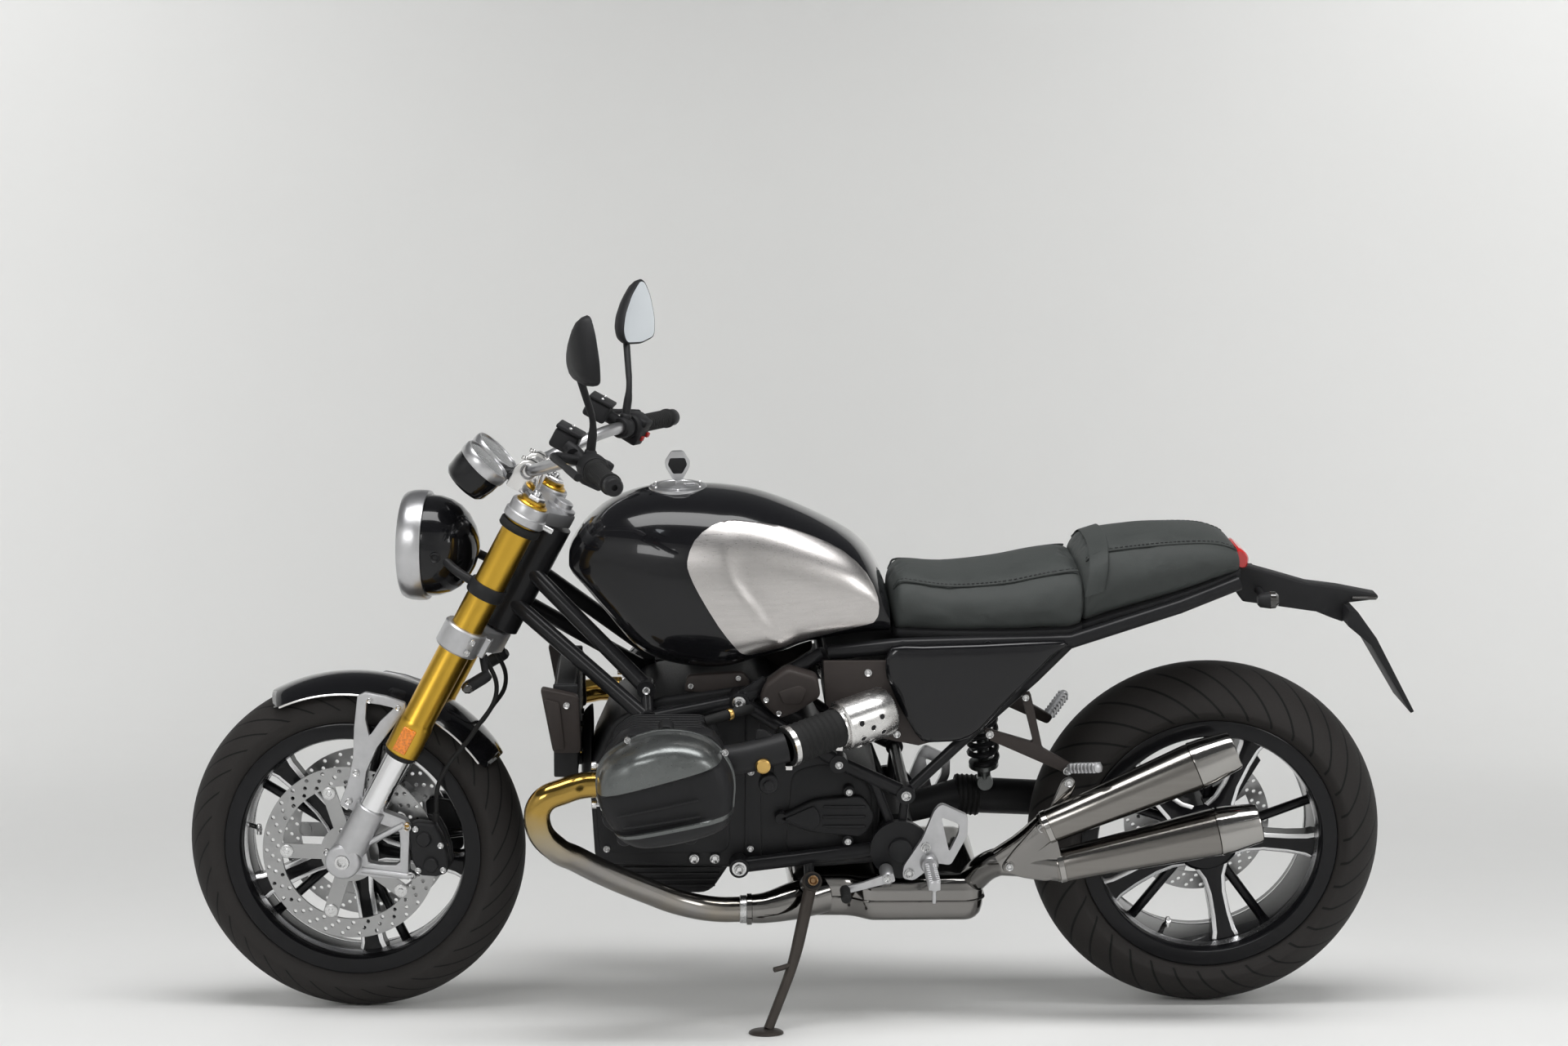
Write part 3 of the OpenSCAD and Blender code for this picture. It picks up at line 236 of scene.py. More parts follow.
def makeCamera():
    look = cameraLook
    yaw, pitch = math.radians(look["yawDeg"]), math.radians(look["pitchDeg"])
    lens = bpy.data.cameras.new("sideCamera")
    lens.lens, lens.sensor_width = look["lens"], look["sensor"]
    eye = addObject("sideCamera", lens)
    eye.location = look["place"]
    eye.rotation_euler = (math.pi / 2 - pitch, 0, -yaw)
    bpy.context.scene.camera = eye


makeStudio()
makeLights()
makeCamera()
bpy.context.scene.view_settings.view_transform = "Standard"
print("studio set")


# colour, metal, roughness, coat, grain size, bump depth in metres, spread of roughness, spread of shade
finishLook = {
    "glossBlack": ((0.006, 0.006, 0.007), 0, 0.16, 1.0, 420, 0.00002, 0.03, 0.12),
    "wheelBlack": ((0.007, 0.007, 0.008), 0, 0.22, 0.4, 300, 0.00004, 0.05, 0.12),
    "frameBlack": ((0.012, 0.012, 0.013), 0, 0.34, 0.25, 260, 0.00006, 0.1, 0.12),
    "castBlack": ((0.016, 0.016, 0.017), 0.1, 0.46, 0, 420, 0.00018, 0.14, 0.12),
    "coverGrey": ((0.115, 0.122, 0.12), 0.75, 0.3, 0.2, 380, 0.0001, 0.08, 0.12),
    "mouldedBlack": ((0.013, 0.013, 0.014), 0, 0.55, 0, 700, 0.0002, 0.12, 0.12),
    "brownBlack": ((0.034, 0.028, 0.026), 0, 0.52, 0, 650, 0.00018, 0.12, 0.12),
    "softRubber": ((0.014, 0.014, 0.014), 0, 0.72, 0, 520, 0.0002, 0.1, 0.12),
    "chrome": ((0.78, 0.78, 0.79), 1.0, 0.07, 0, 60, 0.00001, 0.03, 0.04),
    "polished": ((0.66, 0.65, 0.64), 1.0, 0.14, 0, 90, 0.00002, 0.05, 0.05),
    "castSilver": ((0.47, 0.47, 0.48), 0.85, 0.4, 0, 520, 0.00012, 0.1, 0.12),
    "satinSilver": ((0.5, 0.5, 0.51), 0.95, 0.32, 0, 300, 0.00005, 0.08, 0.12),
    "machined": ((0.72, 0.72, 0.73), 1.0, 0.24, 0, 240, 0.00003, 0.08, 0.05),
    "goldTube": ((0.56, 0.34, 0.045), 1.0, 0.3, 0, 220, 0.00002, 0.05, 0.06),
    "discSteel": ((0.34, 0.34, 0.34), 1.0, 0.32, 0, 160, 0.00004, 0.1, 0.12),
    "boltSteel": ((0.6, 0.6, 0.6), 1.0, 0.28, 0, 420, 0.00005, 0.1, 0.12),
    "brass": ((0.55, 0.36, 0.12), 1.0, 0.34, 0, 320, 0.00005, 0.1, 0.12),
    "bronze": ((0.3, 0.19, 0.1), 1.0, 0.36, 0, 320, 0.00005, 0.1, 0.12),
    "standDark": ((0.05, 0.043, 0.038), 0.3, 0.48, 0, 320, 0.0001, 0.1, 0.12),
    "redButton": ((0.4, 0.015, 0.012), 0, 0.35, 0, 300, 0.00005, 0.1, 0.12),
    "redLens": ((0.5, 0.012, 0.012), 0, 0.12, 0.6, 260, 0.0001, 0.04, 0.12),
    "smokeLens": ((0.02, 0.018, 0.016), 0, 0.12, 0.8, 260, 0.00005, 0.04, 0.12),
    "tipSteel": ((0.36, 0.35, 0.335), 1.0, 0.11, 0, 90, 0.00002, 0.05, 0.06),
    # chrome darkened all over, painted shade standing in for dark reflections
    "paintedShadeChrome": ((0.22, 0.213, 0.204), 1.0, 0.09, 0, 46, 0.00002, 0.05, 0.12),
    "dialBlack": ((0.009, 0.009, 0.01), 0, 0.5, 0, 800, 0.00004, 0.1, 0.12),
    "dialWhite": ((0.75, 0.75, 0.74), 0, 0.5, 0, 400, 0.00002, 0.1, 0.03),
    "seatThread": ((0.02, 0.021, 0.021), 0, 0.8, 0, 900, 0.0002, 0.1, 0.12),
    "mirrorGlass": ((0.7, 0.74, 0.78), 1.0, 0.04, 0, 40, 0.00001, 0.02, 0.03),
}
finishes = {}
for name, (colour, metal, rough, coat, grain, depth, spread, shade) in finishLook.items():
    mat = newFinish(name, colour, metal, rough, coat)
    finishes[name] = addGrain(mat, grain, depth, roughSpread=spread, shade=shade)

# fine lines drawn out along the piece: colour, roughness, stretch along and across
brushedLook = {
    "brushedPanel": ((0.5, 0.48, 0.47), 0.3, 0.35, 34),
    # the can's colour is darkened and warmed: painted shade and a painted brownish reflection over the
    # brushed metal
    "brushedCan": ((0.21, 0.2, 0.187), 0.17, 0.4, 30),
    "stainless": ((0.62, 0.61, 0.6), 0.26, 1.0, 16),
}
for name, (colour, rough, along, across) in brushedLook.items():
    mat = newFinish(name, colour, 1.0, rough)
    finishes[name] = addGrain(mat, 40, 0.00008, stretch=(along, across, across), shade=0.1, detail=8)


def seatFinish():
    mat = newFinish("seatCover", (0.042, 0.046, 0.045), 0, 0.62)
    coords = addNode(mat, "ShaderNodeTexCoord")
    cells = addNode(mat, "ShaderNodeTexVoronoi", {"Scale": 620.0})
    wire(mat, coords, "Object", cells, "Vector")
    folds = addNoise(mat, coords, "Object", 26.0, 5.0)
    addTint(mat, folds, "Fac", (0.032, 0.035, 0.034), (0.052, 0.057, 0.055))
    addRough(mat, folds, 0.5, 0.72)
    addBump(mat, cells, "Distance", 0.45, 0.0003)
    return mat


def lensFinish(name, colour, facetScale):
    mat = newFinish(name, colour, 0, 0.1, 0.5)
    coords = addNode(mat, "ShaderNodeTexCoord")
    facets = addNode(mat, "ShaderNodeTexVoronoi", {"Scale": facetScale})
    wire(mat, coords, "Object", facets, "Vector")
    # each facet is painted darker at its middle and lighter at its rim: painted glints of the prisms; the
    # bump gives their relief
    addTint(mat, facets, "Distance", [c * 0.55 for c in colour], [min(c * 1.3, 1) for c in colour])
    addBump(mat, facets, "Distance", 0.5, 0.0008)
    return mat


def headerFinish():
    # straw gold near the head, plain chrome lower down; every tone is darkened as painted shade standing in
    # for dark reflections
    mat = newFinish("tintedPipe", (0.7, 0.6, 0.4), 1.0, 0.14)
    coords = addNode(mat, "ShaderNodeTexCoord")
    split = addNode(mat, "ShaderNodeSeparateXYZ")
    wire(mat, coords, "Object", split, "Vector")
    cloud = addNoise(mat, coords, "Object", 14.0, 4.0)
    height = addNode(mat, "ShaderNodeMapRange", {"From Min": 0.30, "From Max": 0.46})
    wire(mat, split, "Z", height, "Value")
    blend = addNode(mat, "ShaderNodeMath", {1: 0.3}, operation="MULTIPLY_ADD")
    wire(mat, cloud, "Fac", blend, 0)
    wire(mat, height, "Result", blend, 2)
    tone = addNode(mat, "ShaderNodeValToRGB")
    ramp = tone.color_ramp.elements
    ramp[0].position, ramp[1].position = 0.12, 0.7
    ramp[0].color = (0.27, 0.26, 0.25, 1)
    ramp[1].color = (0.37, 0.24, 0.06, 1)
    ramp.new(0.45).color = (0.34, 0.28, 0.17, 1)
    wire(mat, blend, "Value", tone, "Fac")
    wire(mat, tone, "Color", shaderOf(mat), "Base Color")
    addRough(mat, cloud, 0.08, 0.2)
    return mat


def tyreFinish(name, grooves, lean, inside, outside):
    # slanted sipes cut into both halves of the tread, drawn on the tyre's own UV map
    mat = newFinish(name, (0.014, 0.0125, 0.012), 0, 0.68)
    setSockets(shaderOf(mat), {"Specular IOR Level": 0.22})
    coords = addNode(mat, "ShaderNodeTexCoord")
    split = addNode(mat, "ShaderNodeSeparateXYZ")
    wire(mat, coords, "UV", split, "Vector")

    def sum2(operation, a, b):
        node = addNode(mat, "ShaderNodeMath", operation=operation)
        for i, value in enumerate((a, b)):
            if isinstance(value, (int, float)):
                node.inputs[i].default_value = value
            else:
                mat.node_tree.links.new(value.outputs[0], node.inputs[i])
        return node

    # the split's X runs round the tyre, its Y across the tread
    around = addNode(mat, "ShaderNodeMath", {1: grooves}, operation="MULTIPLY")
    wire(mat, split, "X", around, 0)
    offMiddle = addNode(mat, "ShaderNodeMath", {1: 0.5}, operation="SUBTRACT")
    wire(mat, split, "Y", offMiddle, 0)
    fromMiddle = sum2("ABSOLUTE", offMiddle, 0)
    side = sum2("GREATER_THAN", offMiddle, 0)
    phase = sum2("ADD", around, sum2("MULTIPLY", fromMiddle, lean))
    phase = sum2("ADD", phase, sum2("MULTIPLY", side, 0.5))
    saw = sum2("ABSOLUTE", sum2("SUBTRACT", sum2("FRACT", phase, 0), 0.5), 0)
    inner = sum2("GREATER_THAN", fromMiddle, inside)
    band = sum2("MULTIPLY", inner, sum2("LESS_THAN", fromMiddle, outside))
    sipes = sum2("MULTIPLY", band, sum2("LESS_THAN", saw, 0.055))
    # the sipes are also painted near black: painted shade in the grooves, while the bump below cuts them in
    addTint(mat, sipes, 0, (0.021, 0.019, 0.018), (0.003, 0.003, 0.003))
    fine = addNoise(mat, coords, "Object", 420.0, 3.0)
    addRough(mat, fine, 0.55, 0.8)
    addBump(mat, sum2("SUBTRACT", sum2("MULTIPLY", fine, 0.06), sipes), 0, 0.9, 0.003)
    return mat


finishes["seatCover"] = seatFinish()
finishes["amberLens"] = lensFinish("amberLens", (0.8, 0.22, 0.01), 260.0)
finishes["tintedPipe"] = headerFinish()
finishes["frontTread"] = tyreFinish("frontTread", 34, 9.0, 0.03, 0.3)
finishes["rearTread"] = tyreFinish("rearTread", 34, 7.0, 0.04, 0.33)
finishes["headGlass"] = newFinish("headGlass", (0.9, 0.92, 0.94), 0, 0.03)
setSockets(shaderOf(finishes["headGlass"]), {"Transmission Weight": 0.92})
for gloss in ("glossBlack", "wheelBlack", "frameBlack"):
    setSockets(shaderOf(finishes[gloss]), {"Coat IOR": 1.3, "Specular IOR Level": 0.12})
for matte in ("castBlack", "mouldedBlack", "brownBlack", "softRubber", "seatCover", "standDark",
        "dialBlack"):
    setSockets(shaderOf(finishes[matte]), {"Specular IOR Level": 0.2})
print("finishes made", len(finishes))


# modelling helpers, each working on a bmesh in millimetres
boltLook = {"sides": 14, "edge": 0.18, "socket": 0.38, "sunk": 0.55}
bevelLook = {"segments": 2, "overDeg": 35}
cornerShare = 0.45
seamGap = 0.005
wideGap = 0.01


def ring(bm, places):
    # a circle's points moved onto a closed section
    made = bmesh.ops.create_circle(bm, segments=len(places), radius=1)["verts"]
    made.sort(key=lambda v: math.atan2(v.co.y, v.co.x) % math.tau)
    for vert, place in zip(made, places):
        vert.co = place
    return made


def ringEdges(verts):
    inside = set(verts)
    return [e for e in {e for v in verts for e in v.link_edges}
        if e.verts[0] in inside and e.verts[1] in inside]


def loft(bm, sections):
    rings = [ring(bm, s) for s in sections]
    loops = [ringEdges(r) for r in rings]
    for a, b in zip(loops, loops[1:]):
        bmesh.ops.bridge_loops(bm, edges=a + b)
    for end in (rings[0], rings[-1]):
        bmesh.ops.contextual_create(bm, geom=end)


def addIn(bm, part, place):
    # moves a finished small bmesh into place inside a larger one
    part.transform(place)
    mesh = bpy.data.meshes.new("part")
    part.to_mesh(mesh)
    part.free()
    bm.from_mesh(mesh)
    bpy.data.meshes.remove(mesh)


def aimed(place, aim):
    return Matrix.Translation(Vector(place)) @ Vector(aim).to_track_quat("Z", "Y").to_matrix().to_4x4()


def soften(bm, edges, offset, segments=2):
    bmesh.ops.bevel(bm, geom=edges, offset=offset, offset_type="OFFSET", segments=segments, profile=0.5,
        affect="EDGES", clamp_overlap=True, material=-1)


def thicken(part, faces, rise):
    grown = bmesh.ops.extrude_face_region(part, geom=faces)["geom"]
    bmesh.ops.translate(part, verts=[g for g in grown if isinstance(g, bmesh.types.BMVert)],
        vec=(0, rise, 0))
    bmesh.ops.recalc_face_normals(part, faces=part.faces)


def edgesOver(part, angle):
    return [e for e in part.edges if e.calc_face_angle(0) > angle]


def cutAway(bm, place, normal, clear=True):
    bmesh.ops.bisect_plane(bm, geom=bm.verts[:] + bm.edges[:] + bm.faces[:], plane_co=place,
        plane_no=normal, clear_outer=clear)


def lathe(bm, profile, axis="Y", centre=(0, 0, 0), steps=64):
    # profile is radius and place along the axis
    along = Vector((0, 1, 0)) if axis == "Y" else Vector((0, 0, 1))
    start = [bm.verts.new(Vector(centre) + Vector((r, 0, 0)) + along * a) for r, a in profile]
    line = [bm.edges.new(pair) for pair in zip(start, start[1:])]
    bmesh.ops.spin(bm, geom=start + line, cent=centre, axis=along, angle=math.tau, steps=steps,
        use_merge=True)
    bmesh.ops.remove_doubles(bm, verts=bm.verts, dist=seamGap)


def turned(bm, profile, place, aim, steps=32):
    # a lathe whose axis starts at a place and points along aim
    part = bmesh.new()
    lathe(part, profile, "Z", (0, 0, 0), steps)
    bmesh.ops.recalc_face_normals(part, faces=part.faces)
    addIn(bm, part, aimed(place, aim))


def block(bm, centre, size, bevel=3.0, aim=None):
    part = bmesh.new()
    bmesh.ops.create_cube(part, size=1, matrix=Matrix.Diagonal((*size, 1)))
    soften(part, part.edges[:], bevel, 3)
    turn = Vector(aim).to_track_quat("Y", "Z").to_matrix().to_4x4() if aim is not None else Matrix()
    addIn(bm, part, Matrix.Translation(Vector(centre)) @ turn)


def windowPlate(bm, outline, window, y0, y1, bevel):
    # a plate with one opening: the space between two outlines is filled, then given its thickness
    part = bmesh.new()
    loops = []
    for pts in (outline, window):
        verts = [part.verts.new((x, y0, z)) for x, z in pts]
        loops += [part.edges.new((a, b)) for a, b in zip(verts, verts[1:] + verts[:1])]
    bmesh.ops.triangle_fill(part, use_beauty=True, use_dissolve=False, edges=loops)
    thicken(part, part.faces[:], y1 - y0)
    soften(part, edgesOver(part, 1.0), bevel)
    addIn(bm, part, Matrix())


def plate(bm, outline, y0, y1, bevel, segments=2, flat=False):
    # an outline of x and z given a thickness in y, or of x and y with a thickness in z
    part = bmesh.new()
    thicken(part, [part.faces.new([part.verts.new((x, y0, z)) for x, z in outline])], y1 - y0)
    soften(part, edgesOver(part, 0.6), bevel, segments)
    swap = Matrix(((1, 0, 0, 0), (0, 0, 1, 0), (0, 1, 0, 0), (0, 0, 0, 1)))
    addIn(bm, part, swap if flat else Matrix())


def corner(a, b, c, bend, steps):
    # an arc in place of the corner at b
    back, on = a - b, c - b
    cut = min(bend, back.length * cornerShare, on.length * cornerShare)
    p, q = b + back.normalized() * cut, b + on.normalized() * cut
    arc = []
    for i in range(steps + 1):
        t = i / steps
        arc.append(p * (1 - t) ** 2 + b * 2 * t * (1 - t) + q * t ** 2)
    return arc


def rounded(points, bend, steps=6):
    pts = [Vector(p) for p in points]
    path = [pts[0]]
    for a, b, c in zip(pts, pts[1:], pts[2:]):
        path += corner(a, b, c, bend, steps)
    return path + [pts[-1]]


def roundedLoop(outline, bend, steps=4):
    pts = [Vector(p) for p in outline]
    loop = []
    for a, b, c in zip(pts[-1:] + pts[:-1], pts, pts[1:] + pts[:1]):
        loop += [tuple(p) for p in corner(a, b, c, bend, steps)]
    return loop


def tube(bm, points, radius, bend=40, sides=4, radii=None, smooth=False):
    # a swept round bar along a bent path, or along a smooth curve through the points
    path = [Vector(p) for p in points] if smooth else rounded(points, bend)
    curve = bpy.data.curves.new("path", "CURVE")
    curve.dimensions = "3D"
    curve.bevel_depth = radius
    curve.bevel_resolution = sides
    curve.use_fill_caps = True
    spline = curve.splines.new("BEZIER" if smooth else "POLY")
    knots = spline.bezier_points if smooth else spline.points
    knots.add(len(path) - 1)
    if smooth:
        spline.resolution_u = 10
    for i, (place, knot) in enumerate(zip(path, knots)):
        knot.co = place if smooth else (*place, 1)
        if smooth:
            knot.handle_left_type = knot.handle_right_type = "AUTO"
        if radii:
            t = i / (len(path) - 1) * (len(radii) - 1)
            low = min(int(t), len(radii) - 2)
            knot.radius = radii[low] + (radii[low + 1] - radii[low]) * (t - low)
    holder = addObject("path", curve)
    swept = bpy.data.meshes.new_from_object(holder)
    bm.from_mesh(swept)
    bpy.data.objects.remove(holder)
    bpy.data.curves.remove(curve)
    bpy.data.meshes.remove(swept)


def bothSides(*parts):
    for bm in parts:
        bmesh.ops.mirror(bm, geom=bm.verts[:] + bm.edges[:] + bm.faces[:], axis="Y", merge_dist=-1)


def boltHead(bm, place, direction, radius, height):
    # a drum with a bevelled rim and a sunk socket
    look = boltLook
    at = aimed(place, direction)
    lift = Vector((0, 0, height))
    bmesh.ops.create_cone(bm, cap_ends=True, segments=look["sides"], radius1=radius, radius2=radius,
        depth=height, matrix=at @ Matrix.Translation(lift / 2))

    def topFaces():
        return [f for f in bm.faces if len(f.verts) == look["sides"]
            and (at.inverted() @ f.calc_center_median() - lift).length < 0.01]

    soften(bm, [e for f in topFaces() for e in f.edges], radius * look["edge"])
    top = topFaces()
    bmesh.ops.inset_region(bm, faces=top, thickness=radius * look["socket"], use_even_offset=True)
    bmesh.ops.translate(bm, verts=list({v for f in top for v in f.verts}),
        vec=at.to_3x3() @ Vector((0, 0, -height * look["sunk"])))


def sideBolts(bm, places, radius, height):
    # the same bolts on the left and on the right
    for side in (-1, 1):
        for x, y, z in places:
            boltHead(bm, (x, side * y, z), (0, side, 0), radius, height)


def addPiece(name, bm, place, *finish, hides=None, slot=None, sharpDeg=38, merge=0, subdiv=0, bevel=0.0,
        paint=None):
    space, body = place
    if merge:
        bmesh.ops.remove_doubles(bm, verts=bm.verts, dist=merge)
    bmesh.ops.recalc_face_normals(bm, faces=bm.faces)
    if paint:
        for f in bm.faces:
            f.material_index = paint(f)
    bm.transform(space)
    mesh = bpy.data.meshes.new(name)
    bm.to_mesh(mesh)
    bm.free()
    for f in finish:
        mesh.materials.append(finishes[f])
    mesh.shade_smooth()
    mesh.set_sharp_from_angle(angle=math.radians(sharpDeg))
    piece = addObject(name, mesh)
    if bevel:
        edge = piece.modifiers.new("edges", "BEVEL")
        edge.width = bevel * 0.001
        edge.segments = bevelLook["segments"]
        edge.limit_method = "ANGLE"
        edge.angle_limit = math.radians(bevelLook["overDeg"])
        edge.harden_normals = True
    if subdiv:
        softer = piece.modifiers.new("round", "SUBSURF")
        softer.levels = softer.render_levels = subdiv
    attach(piece, body)
    if hides:
        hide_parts(hides)
    return piece


def dress(finish, *nodes):
    for n in nodes:
        data = frame["nodes"][n].data
        data.materials.clear()
        data.materials.append(finishes[finish])


# wheels: tyre with sipes, gloss rim, five wide spokes each with a thin partner
wheelLook = {
    "front": {"tyreR": layout["frontTyreR"], "crown": 62, "width": 120, "bead": 46, "hubR": 42,
        "hubY": (-66, 66), "spokeY": (-20, 16), "first": 134, "partner": 16, "valveDeg": 172},
    "rear": {"tyreR": layout["rearTyreR"], "crown": 95, "width": 180, "bead": 70, "hubR": 62,
        "hubY": (-42, 58), "spokeY": (-40, 6), "first": 283, "partner": 22, "valveDeg": 250},
}
rimR = 216
treadReach = 1.6
treadShare = 0.3


def polar(r, deg, y):
    a = math.radians(deg)
    return Vector((r * math.cos(a), y, r * math.sin(a)))


def makeTyre(which, look, place):
    bm = bmesh.new()
    bead, crown, r = look["bead"], look["crown"], look["tyreR"]
    edge = math.asin(min(look["width"] / 2 / crown, 1.0))
    shoulder = r - crown + crown * math.cos(edge)
    half = [(rimR - 1, bead - 5), (rimR + 1, bead - 0.6), (rimR + 12, bead + 0.4), (rimR + 15, bead + 4),
        ((rimR + 15 + shoulder) / 2, (bead + 4 + look["width"] / 2) / 2 + 3),
        (shoulder - 4, look["width"] / 2 - 0.3)]
    arc = [(r - crown + crown * math.cos(edge * k / 12), crown * math.sin(edge * k / 12))
        for k in range(12, -13, -1)]
    profile = half + arc + [(q, -y) for q, y in reversed(half)]
    lathe(bm, profile, steps=120)
    uv = bm.loops.layers.uv.new("tread")
    for f in bm.faces:
        mid = f.calc_center_median()
        base = math.atan2(mid.z, mid.x) / math.tau
        for loop in f.loops:
            p = loop.vert.co
            turnAt = math.atan2(p.z, p.x) / math.tau
            turnAt += round(base - turnAt)
            across = math.atan2(p.y, math.hypot(p.x, p.z) - (r - crown)) / edge
            loop[uv].uv = (turnAt, 0.5 + max(min(across, treadReach), -treadReach) * treadShare)
    addPiece(which + "Tyre", bm, place, which + "Tread", hides=which + "_tyre", merge=seamGap)


def makeRim(which, look, place):
    bm = bmesh.new()
    bead = look["bead"]
    half = [(rimR - 21, bead - 26), (rimR - 18, bead - 12), (rimR - 17, bead + 1), (rimR - 14, bead + 5),
        (rimR + 9, bead + 6), (rimR + 12.5, bead + 4), (rimR + 12.5, bead + 0.5), (rimR - 0.5, bead + 0.4),
        (rimR - 0.5, bead - 18), (rimR - 10, bead - 26)]
    lathe(bm, half + [(q, -y) for q, y in reversed(half)] + [half[0]], "Y", steps=112)
    hub, (h0, h1) = look["hubR"], look["hubY"]
    lathe(bm, [(24, h0), (hub - 6, h0), (hub, h0 + 6), (hub, h1 - 6), (hub - 6, h1), (24, h1), (24, h0)])
    addPiece(which + "RimBarrel", bm, place, "wheelBlack", hides=which + "_rim", merge=seamGap)
    # machined lines on the rim's inner edges
    bm = bmesh.new()
    for s in (-1, 1):
        lathe(bm, [(rimR - 21.6, s * (bead - 26)), (rimR - 20.4, s * (bead - 20)),
            (rimR - 18.2, s * (bead - 13)), (rimR - 17.6, s * (bead - 13)), (rimR - 20.6, s * (bead - 26)),
            (rimR - 21.6, s * (bead - 26))], "Y", steps=112)
    addPiece(which + "RimLines", bm, place, "machined", merge=seamGap)
    y0, y1 = look["spokeY"]
    mid, depth = (y0 + y1) / 2, (y1 - y0) / 2
    bm = bmesh.new()
    for k in range(5):
        deg = look["first"] + 72 * k
        along, sideways = polar(1, deg, 0), polar(1, deg + 90, 0)
        rows = []
        for r, w, d in ((hub - 6, 30, 0.95), (hub + 14, 21, 0.95), (hub + 45, 17, 0.85), (150, 18, 0.8),
                (182, 21, 0.85), (rimR - 16, 27, 0.95)):
            e, q, p = depth * d, 7.5, 4.0
            corners = [(w - q, -e), (w, -e + p), (w, e - p), (w - q, e), (-w + q, e), (-w, e - p),
                (-w, -e + p), (-w + q, -e)]
            rows.append([along * r + sideways * s + Vector((0, mid + y, 0)) for s, y in corners])
        loft(bm, rows)

    def edgePaint(f):
        return int(0.45 < abs(f.normal.y) < 0.92)

    addPiece(which + "Spokes", bm, place, "wheelBlack", "machined", bevel=0.8, paint=edgePaint,
        merge=seamGap)
    # the thin partner spokes
    bm = bmesh.new()
    for k in range(5):
        deg = look["first"] + look["partner"] + 72 * k
        foot = polar(hub - 4, deg - 4, mid + depth * 0.3)
        tip = polar(rimR - 14, deg, mid + depth * 0.9)
        tube(bm, [foot, tip], 7.5, sides=3, radii=(1.25, 0.9, 1.15))
    addPiece(which + "ThinSpokes", bm, place, "wheelBlack", merge=seamGap)
    bm = bmesh.new()
    valve = look["valveDeg"]
    stem = [polar(rimR - 14, valve, -6), polar(rimR - 34, valve, -12), polar(rimR - 44, valve, -26)]
    tube(bm, stem, 4.2, bend=8, sides=3)
    lathe(bm, [(0, -10), (4.6, -10), (4.8, 6), (3, 9), (0, 9)], "Z", polar(rimR - 41, valve, -22), 14)
    addPiece(which + "Valve", bm, place, "boltSteel", merge=seamGap)


for which, place in (("front", onFrontWheel), ("rear", onRearWheel)):
    makeTyre(which, wheelLook[which], place)
    makeRim(which, wheelLook[which], place)
dress("discSteel", "front_discs", "rear_disc")
print("wheels made")


# fork: gold upper tubes, chrome lower ones, cast feet and clamps
forkLook = {"x": -layout["forkOffset"], "y": layout["forkSpread"], "tubeR": 28, "tubeLow": 218,
    "sleeveTop": 276, "sleeveR": 30.5, "tubeTop": 720, "capR": 22, "reflector": (24, 46),
    "clampLow": (428, 473), "clampTop": (682, 716)}


def makeForkTubes():
    look = forkLook
    foot = (look["x"], -look["y"], 0)
    bm = bmesh.new()
    r, s, cap = look["tubeR"], look["sleeveR"], look["capR"]
    low, sleeve, top = look["tubeLow"], look["sleeveTop"], look["tubeTop"]
    lathe(bm, [(22.8, 221), (s - 3, low), (s, low + 3), (s, sleeve), (r + 0.6, sleeve + 8), (r, sleeve + 9),
        (r, top - 2), (r - 2, top)], "Z", foot, 56)
    lathe(bm, [(r - 2, top), (cap, top + 1), (cap, top + 5), (cap - 2, top + 6), (9, top + 6)], "Z", foot,
        40)
    bothSides(bm)
    addPiece("forkTubes", bm, onFork, "goldTube", hides="fork_tubes")
    bm = bmesh.new()
    lathe(bm, [(0, 741), (6, 741), (7.5, 739), (7.5, 732), (10, 732), (10, 730)], "Z", foot, 24)
    lathe(bm, [(10, top + 13), (cap - 6, top + 13), (cap - 4, top + 11), (cap - 4, top + 5)], "Z", foot, 6)
    bothSides(bm)
    addPiece("forkAdjusters", bm, onFork, "machined", slot="cast_silver")
    bm = bmesh.new()
    lathe(bm, [(22.6, 210), (25.5, 210), (27.5, 213), (27.8, 219), (22.6, 219), (22.6, 210)], "Z", foot, 40)
    lathe(bm, [(28.1, 664), (35, 664), (36.5, 666), (36.5, 676), (35, 678), (28.1, 678), (28.1, 664)], "Z",
        foot, 40)
    bothSides(bm)
    addPiece("forkSeals", bm, onFork, "softRubber")
    bm = bmesh.new()
    w, h = look["reflector"]
    block(bm, (look["x"] - 2, -look["y"] - look["sleeveR"] - 2, 250), (w, 7, h), bevel=2.2)
    bothSides(bm)
    addPiece("forkReflectors", bm, onFork, "amberLens")


